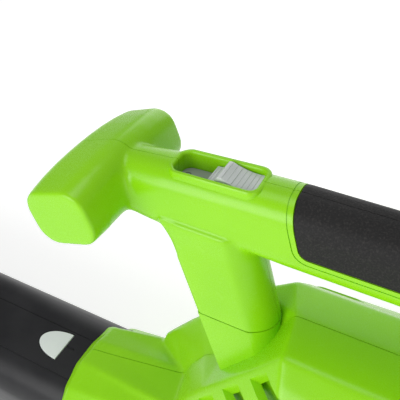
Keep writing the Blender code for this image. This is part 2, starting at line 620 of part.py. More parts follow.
def tube_shell(name, front, rear, front_half, rear_half, material, drop=0.0):
    """A square-round tube with an even wall, open at both ends."""
    shell = loft(name, [
        across_x(front, TUBE_HEIGHT - drop, *front_half, min(TUBE_CORNER, front_half[1] * 0.8)),
        across_x(rear, TUBE_HEIGHT, *rear_half, TUBE_CORNER)], material)
    thin = [[value - TUBE_WALL for value in half] for half in (front_half, rear_half)]
    hollow = loft(name + "_hollow", [
        across_x(front - 0.001, TUBE_HEIGHT - drop, *thin[0],
                 min(TUBE_CORNER, front_half[1] * 0.8) - TUBE_WALL),
        across_x(rear + 0.001, TUBE_HEIGHT, *thin[1], TUBE_CORNER - TUBE_WALL)])
    return combine(shell, hollow)


def half_moon(grow=0.0, steps=14):
    """The button's outline in X and Y, or a larger one: round towards the nozzle, flat towards the body."""
    angles = (math.pi * i / steps for i in range(steps + 1))
    return [(BUTTON_X + grow - (BUTTON_LENGTH + 2 * grow) * math.sin(angle),
             BUTTON_Y + (BUTTON_HALF + grow) * math.cos(angle)) for angle in angles]


def upright(name, outline, low, high, material=None):
    """An outline in X and Y, extruded from Z = low to Z = high."""
    bm = bmesh.new()
    face = bm.faces.new([bm.verts.new((x, y, low)) for x, y in outline])
    grown = bmesh.ops.extrude_face_region(bm, geom=[face])["geom"]
    moved = [item for item in grown if isinstance(item, bmesh.types.BMVert)]
    bmesh.ops.translate(bm, vec=(0, 0, high - low), verts=moved)
    return make_object(name, bm, material)


def blow_tube():
    """The main tube with its release button, the button's cup and the spring."""
    square = (TUBE_HALF, TUBE_HALF)
    tube = tube_shell("blow_tube", TUBE_FRONT, TUBE_REAR, square, square, BLACK)
    under = TUBE_TOP + 0.0006 - BUTTON_THICKNESS
    cup_floor = under - BUTTON_TRAVEL - 0.0037
    combine(tube, upright("button_cup", half_moon(0.0030), cup_floor - 0.0025,
                          TUBE_TOP - 0.001),
            "UNION")
    combine(tube, upright("button_hole", half_moon(SLIDE_FIT), cup_floor, TUBE_TOP + 0.01))
    upright("tube_button", half_moon(), under, under + BUTTON_THICKNESS, PALE)
    cylinder("tube_button_spring", (BUTTON_X - BUTTON_LENGTH / 2, BUTTON_Y, cup_floor + FIT), (0, 0, 1), 0.0035,
             under - BUTTON_TRAVEL - cup_floor - 0.0007, STEEL, 12)


def nozzle():
    """The flat nozzle, which slides over the front of the tube."""
    half = TUBE_HALF + SLIDE_FIT + TUBE_WALL
    taper_end, rear = TUBE_FRONT - NOZZLE_SHOULDER, TUBE_FRONT + NOZZLE_LAP
    taper = tube_shell("nozzle", NOZZLE_FRONT, taper_end, (NOZZLE_HALF_WIDTH, NOZZLE_HALF_HEIGHT),
                       (half, half),
                       BLACK, NOZZLE_DROP)
    combine(taper, throat("nozzle_sleeve", TUBE_WALL, taper_end - 0.0001, rear, 0.0), "UNION")
    combine(taper, throat("nozzle_socket", 0.0, TUBE_FRONT - 0.0005, rear + 0.01, 0.0))
    combine(taper, throat("nozzle_step", -TUBE_WALL * 1.3, taper_end - 0.0020, rear, 0.0))


def switch():
    """The slider in the handle's pocket, the plate under it, its carriage and the slide control."""
    floor = POCKET_FLOOR
    inner = POCKET_HALF - POCKET_RIM - FIT
    plate = box("switch_plate", (POCKET_FRONT + POCKET_RIM + FIT, -inner, floor - PLATE_THICKNESS),
                (POCKET_REAR - POCKET_RIM - FIT, inner, floor), GREY)
    combine(plate, box("switch_plate_slot",
                       (STEM_X - STEM_HALF - SLIDER_TRAVEL - SLIDE_FIT, -0.0032, floor - 0.01),
                       (STEM_X + STEM_HALF + SLIDE_FIT, 0.0032, floor + 0.01)))
    rear = POCKET_REAR - POCKET_RIM - SLIDE_FIT
    crest = rear - 0.0208
    profile = [(rear, floor + FIT), (rear, floor + 0.0094), (rear - 0.0040, floor + 0.0089),
               (rear - 0.0090, floor + 0.0091), (rear - 0.0155, floor + 0.0105), (crest, floor + 0.0122),
               (crest - 0.0018, floor + 0.0108), (crest - 0.0032, floor + 0.0070),
               (crest - 0.0076, floor + 0.0064),
               (crest - 0.0088, floor + FIT)]
    slider = prism("speed_slider", profile, 0.0010 - inner, inner - 0.0010, PALE)
    combine(slider, box("slider_stem", (STEM_X - STEM_HALF, -0.0025, floor - 0.0060),
                        (STEM_X + STEM_HALF, 0.0025, floor + 0.002)), "UNION")
    box("slider_carriage", (STEM_X - CARRIAGE_HALF, -0.0050, floor - 0.0095),
        (STEM_X + CARRIAGE_HALF, 0.0050, floor - 0.0063), GREY)
    box("slide_control", (STEM_X - CARRIAGE_HALF - SLIDER_TRAVEL - 0.0015, -0.0058, floor - 0.0160),
        (STEM_X + CARRIAGE_HALF + 0.0015, 0.0058, floor - 0.0100), BOARD)


def battery():
    """The battery pack: tray, lid, cells in a holder, cell board, latch button and spring."""
    low, high, half = BATTERY_LOW, BATTERY_HIGH, BATTERY_HALF
    front, rear = BATTERY_FRONT, BATTERY_REAR
    split = low + TRAY_HEIGHT
    tray = box("battery_tray", (front, -half, low), (rear, half, split - FIT), BLACK, 0.003)
    combine(tray, box("tray_hollow", (front + 0.002, -half + 0.002, low + 0.002),
                      (rear - 0.006, half - 0.002, split + 0.01)))
    lid = box("battery_lid", (front, -half, split), (rear, half, high), BLACK, 0.003)
    combine(lid, box("lid_hollow", (front + 0.002, -half + 0.002, split - 0.01),
                     (rear - 0.018, half - 0.002, high - 0.0025)))
    combine(lid, box("latch_pocket", (rear - 0.0155, -0.0105, split + 0.004),
                     (rear + 0.01, 0.0105, high - 0.003)))
    for y in CONTACTS:
        combine(lid, box(f"contact_slot_{y}", (front - 0.01, y - 0.0020, high - 0.012),
                         (front + 0.01, y + 0.0020, high - 0.0025)))
    box("latch_button", (rear - 0.0085, -0.0100, split + 0.0045), (rear + 0.0010, 0.0100, high - 0.0035),
        GREY)
    cylinder("latch_spring", (rear - 0.0152, 0, (split + high) / 2), (1, 0, 0), 0.0028, 0.0028, STEEL, 12)
    middle = (front + 0.002 + rear - 0.006) / 2
    for column in range(CELL_COLUMNS):
        for row in range(CELL_ROWS):
            place = (middle + (column - (CELL_COLUMNS - 1) / 2) * CELL_PITCH, -CELL_LENGTH / 2,
                     low + 0.0027 + CELL_RADIUS + row * CELL_PITCH)
            cylinder(f"battery_cell_{column * CELL_ROWS + row + 1}", place, (0, 1, 0), CELL_RADIUS - 0.0001,
                     CELL_LENGTH, CELL_WRAP, 12)
    box("battery_board", (front + 0.004, 0.009 - half, split + 0.0020),
        (rear - 0.020, half - 0.009, split + 0.0036),
        BOARD)


def electrics():
    """What turns the battery's power into the motor's: contacts, board, heat sink and wires."""
    block = box("terminal_block", (BATTERY_FRONT - 0.016, -0.022, BATTERY_HIGH - 0.020),
                (BATTERY_FRONT - 0.0012, 0.022, BATTERY_HIGH - 0.001), BLACK)
    for y in CONTACTS:
        combine(block, box(f"contact_blade_{y}", (BATTERY_FRONT - 0.005, y - 0.0005, BATTERY_HIGH - 0.0110),
                           (BATTERY_FRONT + 0.006, y + 0.0005, BATTERY_HIGH - 0.0040)), "UNION")
    box("control_board", (-0.020, -0.030, BOARD_HEIGHT), (0.034, 0.030, BOARD_HEIGHT + 0.0016), BOARD)
    sink = box("heat_sink", (-0.016, 0.002, BOARD_HEIGHT + 0.0020), (0.012, 0.028, BOARD_HEIGHT + 0.0140),
               ALLOY)
    for i in range(4):
        x = -0.0115 + i * 0.0065
        combine(sink, box(f"sink_slot_{i}", (x, -0.01, BOARD_HEIGHT + 0.0050), (x + 0.0035, 0.04, BODY_TOP)))
    for name, side in (("motor_lead_a", -1), ("motor_lead_b", 1)):
        wire(name, [(side * 0.004, MOTOR_END + 0.0077, FAN_HEIGHT + 0.028),
                    (side * 0.012, MOTOR_END + 0.0082, FAN_HEIGHT + 0.050),
                    (side * 0.014, MOTOR_END + 0.0032, BOARD_HEIGHT - 0.040),
                    (side * 0.012, MOTOR_END - 0.0068, BOARD_HEIGHT - 0.007)])
    wire("switch_lead", [(WIRE_X, 0, POCKET_FLOOR - 0.0175), (WIRE_X, 0, BOARD_HEIGHT - 0.037),
                         (WIRE_X + 0.017, 0, BOARD_HEIGHT - 0.032), (-0.060, 0, BOARD_HEIGHT - 0.0085),
                         (-0.0215, 0, BOARD_HEIGHT + 0.0007)])


def wire(name, route):
    """An insulated lead along a few points."""
    curve = bpy.data.curves.new(name, "CURVE")
    curve.dimensions = "3D"
    curve.bevel_depth = 0.0013
    curve.bevel_resolution = 1
    curve.use_fill_caps = True
    spline = curve.splines.new("POLY")
    spline.points.add(len(route) - 1)
    for point, place in zip(spline.points, route):
        point.co = (*place, 1)
    curve.materials.append(LEAD)
    PARTS.objects.link(bpy.data.objects.new(name, curve))


def screws():
    """The screws that hold the shells together, each from the motor's side."""
    for group, spots in (("housing_screw", SCREW_SPOTS), ("handle_screw", HANDLE_SPOTS)):
        for i, (x, z) in enumerate(spots):
            turned(f"{group}_{i + 1}", (x, SCREW_SEAT, z), (0, -1, 0),
                   [(0, SCREW_SEAT + SCREW_REACH), (SCREW_RADIUS, SCREW_SEAT + SCREW_REACH - 0.002),
                    (SCREW_RADIUS, SCREW_HEAD_HEIGHT + 0.0002), (SCREW_HEAD, SCREW_HEAD_HEIGHT),
                    (SCREW_HEAD, 0),
                    (0, 0)], STEEL, 10)


def feet():
    """Three rubber feet under the body, the middle one below the fan's axis."""
    for name, x in FOOT_SPOTS:
        box(name, (x - FOOT_HALF_LENGTH, 0.012 - BODY_NEAR, 0),
            (x + FOOT_HALF_LENGTH, BODY_FAR - 0.014, FOOT_HEIGHT - FIT), RUBBER, 0.002)


housing_half("housing_left", -1)
housing_half("housing_right", 1)
handle_half("handle_left", -1)
handle_half("handle_right", 1)
keep_side(grip_sleeve("grip_pad_left", 0.0, RUBBER), -1)
keep_side(grip_sleeve("grip_pad_right", 0.0, RUBBER), 1)
scroll()
fan()
motor()
intake_grille()
blow_tube()
nozzle()
switch()
battery()
electrics()
screws()
feet()

# The moving groups: each hangs on an empty that lies on its joint's axis.
BATTERY = ["battery_tray", "battery_lid", "battery_board", "latch_spring"]
BATTERY += [f"battery_cell_{i + 1}" for i in range(CELL_COLUMNS * CELL_ROWS)]
MOVING = {
    "fan_axis": ((0, 0, FAN_HEIGHT), None, ["fan_impeller", "fan_nut", "motor_shaft", "motor_rotor"]),
    "slider_way": ((POCKET_REAR, 0, POCKET_FLOOR), None, ["speed_slider", "slider_carriage"]),
    "tube_way": ((TUBE_REAR, 0, TUBE_HEIGHT), None, ["blow_tube", "tube_button_spring"]),
    "button_way": ((BUTTON_X, BUTTON_Y, TUBE_TOP), "tube_way", ["tube_button"]),
    "nozzle_way": ((TUBE_FRONT, 0, TUBE_HEIGHT), "tube_way", ["nozzle"]),
    "battery_way": ((BATTERY_FRONT, 0, BATTERY_LOW), None, BATTERY),
    "latch_way": ((BATTERY_REAR, 0, BATTERY_HIGH), "battery_way", ["latch_button"]),
}
for name, (place, carrier, pieces) in MOVING.items():
    empty = bpy.data.objects.new(name, None)
    PARTS.objects.link(empty)
    empty.location = place
    bpy.context.view_layer.update()
    if carrier:
        empty.parent = bpy.data.objects[carrier]
        empty.matrix_parent_inverse = bpy.data.objects[carrier].matrix_world.inverted()
    for piece in pieces:
        bpy.data.objects[piece].parent = empty
        bpy.data.objects[piece].matrix_parent_inverse = Matrix.Translation(place).inverted()
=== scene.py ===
"""The leaf blower's looks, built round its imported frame."""

import math

import bmesh
import bpy
from mathutils import Matrix, Vector


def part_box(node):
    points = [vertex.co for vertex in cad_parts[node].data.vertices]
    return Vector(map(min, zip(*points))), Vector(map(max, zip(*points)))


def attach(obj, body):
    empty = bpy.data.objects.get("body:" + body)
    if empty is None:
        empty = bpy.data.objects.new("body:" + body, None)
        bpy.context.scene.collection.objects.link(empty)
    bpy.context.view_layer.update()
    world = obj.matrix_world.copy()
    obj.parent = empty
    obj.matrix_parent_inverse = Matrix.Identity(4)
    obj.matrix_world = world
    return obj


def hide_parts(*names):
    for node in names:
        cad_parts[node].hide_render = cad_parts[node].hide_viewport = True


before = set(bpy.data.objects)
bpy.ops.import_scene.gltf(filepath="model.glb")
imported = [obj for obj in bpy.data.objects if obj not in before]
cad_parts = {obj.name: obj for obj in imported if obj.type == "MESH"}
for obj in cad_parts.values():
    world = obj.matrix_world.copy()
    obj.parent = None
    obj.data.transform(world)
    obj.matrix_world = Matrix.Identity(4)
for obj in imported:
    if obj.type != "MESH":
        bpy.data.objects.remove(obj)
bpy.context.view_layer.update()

# The view and the studio. A camera above and in front of the left side looks down on the handle,
# a pale floor carries the blower, and four large soft lamps and a light sky light it evenly.
VIEW_AZIMUTH = math.radians(27.1)
VIEW_ELEVATION = math.radians(40.0)
VIEW_FROM = Vector((-0.0063, -0.2169, 0.5624))
look_back = Vector((math.sin(VIEW_AZIMUTH) * math.cos(VIEW_ELEVATION),
                    -math.cos(VIEW_AZIMUTH) * math.cos(VIEW_ELEVATION), math.sin(VIEW_ELEVATION)))
camera_data = bpy.data.cameras.new("view")
camera_data.sensor_width = 36.0
camera_data.lens = 49.05
camera_data.clip_start = 0.01
camera = bpy.data.objects.new("view", camera_data)
camera.location = VIEW_FROM
camera.rotation_euler = look_back.to_track_quat("Z", "Y").to_euler()
bpy.context.scene.collection.objects.link(camera)
bpy.context.scene.camera = camera

LAMPS = (("key", (-0.65, -1.55, 0.85), 1.1, 19.0), ("fill", (1.3, -1.1, 0.7), 1.0, 4.0),
         ("top", (-0.2, 0.1, 1.9), 1.0, 7.0), ("back", (-0.6, 1.9, 0.8), 1.6, 12.0))
for lamp_name, place, size, watts in LAMPS:
    lamp = bpy.data.lights.new(lamp_name, "AREA")
    lamp.shape = "SQUARE"
    lamp.size = size
    lamp.energy = watts
    holder = bpy.data.objects.new(lamp_name, lamp)
    holder.location = place
    holder.rotation_euler = (Vector(place) - Vector((-0.05, 0, 0.25))).to_track_quat("Z", "Y").to_euler()
    bpy.context.scene.collection.objects.link(holder)

sky = bpy.data.worlds.new("sky")
sky.use_nodes = True
sky.node_tree.nodes["Background"].inputs["Color"].default_value = (1.0, 1.0, 1.0, 1.0)
sky.node_tree.nodes["Background"].inputs["Strength"].default_value = 0.30
bpy.context.scene.world = sky
bpy.context.scene.view_settings.view_transform = "Standard"


# The handle: two glass-filled nylon shells, moulded in green with a fine spark texture and screwed
# together along the middle plane. A T-shaped front grip runs into a neck with the switch's rim on top,
# then into the main grip, a post that leans forwards, and a column at the rear.
GREEN = (0.262, 0.645, 0.004)
SEAM = 0.0003               # gap between shells along the middle plane
BEYOND = 0.5                # past every piece, for the ends of cutters
GRIP_HALF_HEIGHT = 0.0235
GRIP_CORNER = 0.0145
PAD_DEPTH = 0.0026
PAD_GAP = 0.0002            # between a pad and its seat
NECK_Z = 0.3600             # middle height of the neck and the front grip
NECK_TOP_Z = 0.352          # where the post and the column end inside the grip
FRONT_GRIP_X = -0.180
FRONT_GRIP_HALF = (0.0245, 0.0200)
FRONT_GRIP_CORNER = 0.0140
FRONT_GRIP_TILT = math.radians(20)
POST_FRONT = -0.1135
POST_REAR = -0.0600
POST_HALF_WIDTH = 0.0185
POST_ROUND = 0.0292         # half length of the oval that its rear follows
POST_TURN = math.radians(60)
POST_LEAN = 0.325           # how far it goes forwards for its height
HANDLE_GRAIN = 0.0011
handle_low, handle_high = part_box("handle_left")
pad_low, pad_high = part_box("grip_pad_left")
plate_low, plate_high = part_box("switch_plate")
body_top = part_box("housing_left")[1].z
post_seam = handle_low.z
grip_top = pad_high.z
grip_middle = grip_top - GRIP_HALF_HEIGHT
grip_half_width = -pad_low.y
front_grip_half = -handle_low.y


class Val:
    """One shader socket, with the arithmetic that adds Math nodes."""

    def __init__(self, finish, socket):
        self.finish = finish
        self.socket = socket

    def math(self, operation, *values):
        return self.finish.new("ShaderNodeMath", {"operation": operation}, values)

    def __add__(self, other):
        return self.math("ADD", self, other)

    def __radd__(self, other):
        return self.math("ADD", other, self)

    def __mul__(self, other):
        return self.math("MULTIPLY", self, other)

    def between(self, low, high):
        """0 at low and under, 1 at high and over, with a soft step from one to the other."""
        return self.finish.new("ShaderNodeMapRange", {"interpolation_type": "SMOOTHSTEP"},
                               {"Value": self, "From Min": low, "From Max": high})


class Finish:
    """A material on one Principled shader, built node by node."""

    def __init__(self, name, color, roughness, metallic=0.0, gloss=0.5):
        self.material = bpy.data.materials.new(name)
        self.material.use_nodes = True
        self.tree = self.material.node_tree
        self.shader = self.tree.nodes["Principled BSDF"]
        self.shader.inputs["Base Color"].default_value = (*color, 1.0)
        self.shader.inputs["Roughness"].default_value = roughness
        self.shader.inputs["Metallic"].default_value = metallic
        self.shader.inputs["Specular IOR Level"].default_value = gloss

    def new(self, kind, settings=None, values=(), output=0):
        """A node of this type: its settings first, then its sockets' values or links."""
        node = self.tree.nodes.new(kind)
        for key, value in (settings or {}).items():
            setattr(node, key, value)
        for key, value in values.items() if isinstance(values, dict) else enumerate(values):
            if isinstance(value, Val):
                self.tree.links.new(value.socket, node.inputs[key])
            elif value is not None:
                node.inputs[key].default_value = value
        return Val(self, node.outputs[output])

    def place(self):
        """Where a point is on the object, in metres."""
        return self.new("ShaderNodeTexCoord", output="Object")

    def stretched(self, scale):
        """The same place with each axis multiplied, for a grain that runs one way."""
        return self.new("ShaderNodeVectorMath", {"operation": "MULTIPLY"}, (self.place(), scale))

    def noise(self, scale, detail=2.0, where=None):
        """Soft noise from 0 to 1, at this many grains a metre."""
        return self.new("ShaderNodeTexNoise", None, {"Vector": where or self.place(), "Scale": scale,
                                                     "Detail": detail})

    def cells(self, scale):
        """The distance to the nearest of many scattered points, for pebbles."""
        return self.new("ShaderNodeTexVoronoi", None, {"Vector": self.place(), "Scale": scale})

    def mix(self, share, first, second):
        """Two colours mixed by a share."""
        colors = [value if isinstance(value, Val) else (*value, 1.0) for value in (first, second)]
        sockets = {0: share, 6: colors[0], 7: colors[1]}
        return self.new("ShaderNodeMix", {"data_type": "RGBA"}, sockets, 2)

    def bump(self, height, distance, strength=1.0):
        """A relief of this many metres."""
        sockets = {"Height": height, "Distance": distance, "Strength": strength}
        return self.new("ShaderNodeBump", None, sockets)

    def feed(self, **sockets):
        """Links values to the shader's sockets, by name with _ for a space."""
        for key, value in sockets.items():
            self.tree.links.new(value.socket, self.shader.inputs[key.replace("_", " ")])
        return self.material


def rounded(half_u, half_v, corner, steps=8):
    """The points of a rounded rectangle about the origin."""
    points = []
    for turn, (side_u, side_v) in enumerate(((1, 1), (-1, 1), (-1, -1), (1, -1))):
        for step in range(steps + 1):
            angle = math.radians(90) * (turn + step / steps)
            points.append((side_u * (half_u - corner) + corner * math.cos(angle),
                           side_v * (half_v - corner) + corner * math.sin(angle)))
    return points


def skin(bm, sections):
    """Adds a closed skin over sections with the same number of points."""
    before = None
    for number, section in enumerate(sections):
        ring = [bm.verts.new(point) for point in section]
        edges = [bm.edges.new(pair) for pair in zip(ring, ring[1:] + ring[:1])]
        if number in (0, len(sections) - 1):
            bmesh.ops.contextual_create(bm, geom=edges)
        for corner in range(len(ring) if before else 0):
            corners = [before[corner - 1], before[corner], ring[corner], ring[corner - 1]]
            bmesh.ops.contextual_create(bm, geom=corners)
        before = ring
    return bm


def skinned(sections):
    """A new closed skin over sections."""
    bm = skin(bmesh.new(), sections)
    bmesh.ops.recalc_face_normals(bm, faces=bm.faces)
    return bm


def along_x(x, middle_z, half_y, half_z, corner):
    """A rounded section across X."""
    return [(x, y, middle_z + z) for y, z in rounded(half_y, half_z, corner)]


def extruded(outline, axis, low, high, edge=0.0):
    """An outline in XZ pushed along Y, or in XY along Z, with the edges of both ends rounded."""
    bm = bmesh.new()
    place = (lambda u, v: (u, low, v)) if axis == "Y" else (lambda u, v: (u, v, low))
    ring = [bm.verts.new(place(u, v)) for u, v in outline]
    edges = [bm.edges.new(pair) for pair in zip(ring, ring[1:] + ring[:1])]
    bmesh.ops.contextual_create(bm, geom=edges)
    grown = bmesh.ops.extrude_face_region(bm, geom=bm.faces[:])["geom"]
    push = (0, high - low, 0) if axis == "Y" else (0, 0, high - low)
    bmesh.ops.translate(bm, vec=push, verts=[item for item in grown if isinstance(item, bmesh.types.BMVert)])
    bmesh.ops.recalc_face_normals(bm, faces=bm.faces)
    if edge:
        ends = [item for item in bm.edges if abs(item.verts[0].co["XYZ".index(axis)]
                                                 - item.verts[1].co["XYZ".index(axis)]) < 1e-7]
        bmesh.ops.bevel(bm, geom=ends, offset=edge, offset_type="OFFSET", segments=3, profile=0.5,
                        affect="EDGES", material=-1, clamp_overlap=True)
    return bm


def block(low, high, rounding=0.0):
    """A box between two corners, with its edges rounded."""
    bm = bmesh.new()
    low, high = Vector(low), Vector(high)
    bmesh.ops.create_cube(bm, size=1.0)
    bmesh.ops.scale(bm, vec=high - low, verts=bm.verts)
    bmesh.ops.translate(bm, vec=(low + high) / 2, verts=bm.verts)
    if rounding:
        bmesh.ops.bevel(bm, geom=bm.edges[:], offset=rounding, segments=3, profile=0.5, affect="EDGES",
                        material=-1)
    return bm


def linked(bm, name):
    """An object for a bmesh, in the scene."""
    mesh = bpy.data.meshes.new(name)
    bm.to_mesh(mesh)
    bm.free()
    holder = bpy.data.objects.new(name, mesh)
    bpy.context.scene.collection.objects.link(holder)
    return holder


def settled(holders):
    """The first holder's mesh with its modifiers applied, after which all of them are gone."""
    graph = bpy.context.evaluated_depsgraph_get()
    result = bmesh.new()
    result.from_mesh(holders[0].evaluated_get(graph).data)
    for holder in holders:
        mesh = holder.data
        bpy.data.objects.remove(holder)
        bpy.data.meshes.remove(mesh)
    return result


def carved(bm, *tools):
    """Cuts closed shapes out of a closed skin (-) or joins them to it (+), one after the other."""
    holders = [linked(bm, "carving")]
    for sign, tool in tools:
        holders.append(linked(tool, "tool"))
        step = holders[0].modifiers.new("step", "BOOLEAN")
        step.operation = {"-": "DIFFERENCE", "+": "UNION", "&": "INTERSECT"}[sign]
        step.solver = "MANIFOLD"
        step.object = holders[-1]
    return settled(holders)


def fused(bm, grain, rounds):
    """Melts overlapping closed skins into one at this grain, and smooths it."""
    bmesh.ops.recalc_face_normals(bm, faces=bm.faces)
    holder = linked(bm, "melt")
    melt = holder.modifiers.new("melt", "REMESH")
    melt.mode = "VOXEL"
    melt.voxel_size = grain
    melted = settled([holder])
    return softened(melted, melted.verts[:], rounds)


def softened(bm, points, rounds):
    """Smooths some of a skin's points."""
    for _ in range(rounds):
        bmesh.ops.smooth_vert(bm, verts=points, factor=0.5, use_axis_x=True, use_axis_y=True, use_axis_z=True)
    return bm


def near(bm, place, reach):
    """The points of a skin within reach of a place."""
    return [vert for vert in bm.verts if (vert.co - Vector(place)).length < reach]


def piece_of(bm, name, material, body, replaced=(), smooth=35.0):
    """A finished piece: its finish, the body it rides on and the nodes that it stands for."""
    piece = linked(bm, name)
    piece.data.materials.append(material)
    piece.data.shade_smooth()
    piece.data.set_sharp_from_angle(angle=math.radians(smooth))
    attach(piece, body)
    if replaced:
        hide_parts(*replaced)
    return piece


def one_side(bm, side, gap=SEAM):
    """The left (-1) or right (1) half of a copy of a closed skin."""
    other = (-gap / 2, BEYOND) if side < 0 else (-BEYOND, gap / 2)
    return carved(bm.copy(), ("-", block((-1, other[0], -0.1), (1, other[1], 1))))


def post_section(z, grow=0.0):
    """The post across Z: flat sides that meet a broad round rear at a soft edge, leaning forwards."""
    lean = (post_seam - z) * POST_LEAN
    front, rear = POST_FRONT + lean - grow, POST_REAR + lean * 0.86 + grow
    half = POST_HALF_WIDTH + grow
    outline = [(front, half * 0.62), (front, -half * 0.62), (front + 0.004, -half)]
    outline += [(rear - POST_ROUND * (1 - math.cos(angle)), half * math.sin(angle) / math.sin(POST_TURN))
                for angle in (POST_TURN * step / 8 for step in range(-8, 9))]
    outline.append((front + 0.004, half))
    return [(x, y, z) for x, y in outline]


def front_grip_section(y):
    """The front grip across Y: tilted back, and drooping a little towards its ends."""
    share = abs(y) / front_grip_half
    scale = 1.0 - 0.10 * share ** 3
    droop = 0.003 * share ** 2
    along, across = math.cos(FRONT_GRIP_TILT), math.sin(FRONT_GRIP_TILT)
    half_u, half_v = FRONT_GRIP_HALF
    return [(FRONT_GRIP_X + u * along - v * across, y, NECK_Z - droop + u * across + v * along)
            for u, v in rounded(half_u * scale, half_v * scale, FRONT_GRIP_CORNER * scale)]


def column_section(x, z, half_y):
    """The column behind the grip, across Z."""
    return [(u + x, y, z) for u, y in rounded(0.0210, half_y, 0.008)]


handle = bmesh.new()
skin(handle, [front_grip_section(front_grip_half * share) for share in
              (-1, -0.9, -0.7, -0.45, -0.2, 0, 0.2, 0.45, 0.7, 0.9, 1)])
skin(handle, [
    along_x(-0.172, NECK_Z, 0.0165, 0.0190, 0.0150),
    along_x(-0.135, NECK_Z, grip_half_width, 0.0226, GRIP_CORNER),
    along_x(-0.080, grip_middle, grip_half_width, GRIP_HALF_HEIGHT - 0.0008, GRIP_CORNER),
    along_x(pad_low.x, grip_middle, grip_half_width, GRIP_HALF_HEIGHT, GRIP_CORNER),
    along_x(pad_high.x, grip_middle, grip_half_width, GRIP_HALF_HEIGHT, GRIP_CORNER),
    along_x(handle_high.x - 0.003, grip_middle - 0.006, grip_half_width, GRIP_HALF_HEIGHT - 0.005,
            GRIP_CORNER)])
skin(handle, [post_section(post_seam - 0.02), post_section(0.335), post_section(NECK_TOP_Z, 0.002)])
skin(handle, [column_section(0.094, body_top - 0.02, 0.0185), column_section(0.092, NECK_TOP_Z, 0.0168)])
handle = fused(handle, HANDLE_GRAIN, 10)
for side in (-1, 1):
    softened(handle, near(handle, (-0.166, side * 0.019, 0.357), 0.020), 40)
    softened(handle, near(handle, (-0.128, side * 0.012, 0.338), 0.016), 30)

# The rim round the switch's pocket stands up from the neck, level with the crown behind it. It rises
# a little towards the rear, and its inner edge is rounded so that a thumb slides over it.
RIM_SLOPE = 0.042
RIM_WALL = 0.0037
rim_top = grip_top - 0.0017
pocket_x = (plate_low.x + plate_high.x) / 2
pocket_half = (plate_high.x - plate_low.x) / 2


def rim_plan(grow, z):
    """The pocket's outline at a height, rising towards the rear, with the front corners cut back."""
    points = []
    for u, v in rounded(pocket_half + grow, plate_high.y + grow, 0.0045 + max(grow, 0) * 0.6, 6):
        front = max(0.0, -u - pocket_half * 0.66) / (pocket_half * 0.4)
        points.append((pocket_x + u, v * (1 - 0.16 * front ** 2), z + (u + pocket_half) * RIM_SLOPE))
    return points


rim = skinned([rim_plan(RIM_WALL + 0.0004, grip_top - 0.014), rim_plan(RIM_WALL, rim_top - 0.0028),
               rim_plan(RIM_WALL - 0.0002, rim_top - 0.0018), rim_plan(RIM_WALL - 0.0006, rim_top - 0.0012),
               rim_plan(RIM_WALL - 0.0014, rim_top - 0.0010)])
pocket = skinned([rim_plan(0.0003, plate_low.z - 0.0030), rim_plan(0.0003, rim_top - 0.0028),
                  rim_plan(0.0005, rim_top - 0.0018), rim_plan(0.0010, rim_top - 0.0012),
                  rim_plan(0.0020, rim_top - 0.0008), rim_plan(0.0020, rim_top + 0.02)])

# The grip pads sit flush in the shells, in a seat with a slanted front edge and round lower corners,
# and a thin groove runs round the seat.
PAD_CORNER = 0.007
PAD_LEAN = 16.8             # degrees from upright
PAD_FRONT = 0.0149          # from the box's front to the lower front corner's middle
PAD_REAR = 0.0082


def pad_side(grow):
    """The pad's outline from the side, open upwards, this much larger all round."""
    corner_z = pad_low.z + PAD_CORNER
    front_x, rear_x = pad_low.x + PAD_FRONT, pad_high.x - PAD_REAR
    reach = PAD_CORNER + grow
    points = [(rear_x + reach, grip_top + 0.02)]
    points += [(rear_x + reach * math.sin(angle), corner_z - reach * math.cos(angle))
               for angle in (math.radians(90 - step) for step in range(0, 91, 15))]
    points += [(front_x - reach * math.sin(angle), corner_z - reach * math.cos(angle))
               for angle in (math.radians(step) for step in (0, 15, 30, 45, 60, 90 - PAD_LEAN))]
    rise = grip_top + 0.02 - points[-1][1]
    points.append((points[-1][0] - rise * math.tan(math.radians(PAD_LEAN)), grip_top + 0.02))
    return points


def grip_core(inset):
    """The grip under the pads, this far inside its skin."""
    return skinned([along_x(x, grip_middle, grip_half_width - inset, GRIP_HALF_HEIGHT - inset,
                            GRIP_CORNER - inset) for x in (pad_low.x - 0.02, pad_high.x + 0.02)])


seat = carved(extruded(pad_side(PAD_GAP), "Y", -0.03, 0.03), ("-", grip_core(PAD_DEPTH + PAD_GAP)))
groove = carved(extruded(pad_side(0.0036), "Y", -0.03, 0.03),
                ("-", extruded(pad_side(0.0029), "Y", -0.04, 0.04)), ("-", grip_core(0.0006)))
carriage_room = block((-0.121, -0.0062, 0.350), (-0.0885, 0.0062, plate_high.z))
under_post = block((-1, -1, 0.2), (0.0, 1, post_seam))
under_column = block((0.0, -1, 0.2), (1, 1, body_top + SEAM))
handle = carved(handle, ("+", rim), ("-", pocket), ("-", seat), ("-", groove), ("-", under_post),
                ("-", carriage_room), ("-", under_column))

green = Finish("green_nylon", GREEN, 0.28, gloss=0.36)
spark = green.noise(2400, 2.0)
cloud = green.noise(16, 3.0)
rub = green.noise(120, 4.0).between(0.62, 0.80)
green.feed(Base_Color=green.mix(cloud.between(0.3, 0.7), (0.250, 0.630, 0.003), (0.274, 0.662, 0.006)),
           Roughness=0.20 + spark * 0.11 + cloud * 0.03 + rub * 0.05, Normal=green.bump(spark, 0.00005, 0.55))
for name, side in (("handle_left", -1), ("handle_right", 1)):
    piece_of(one_side(handle, side), name + "_shell", green.material, "body", (name,))
handle.free()

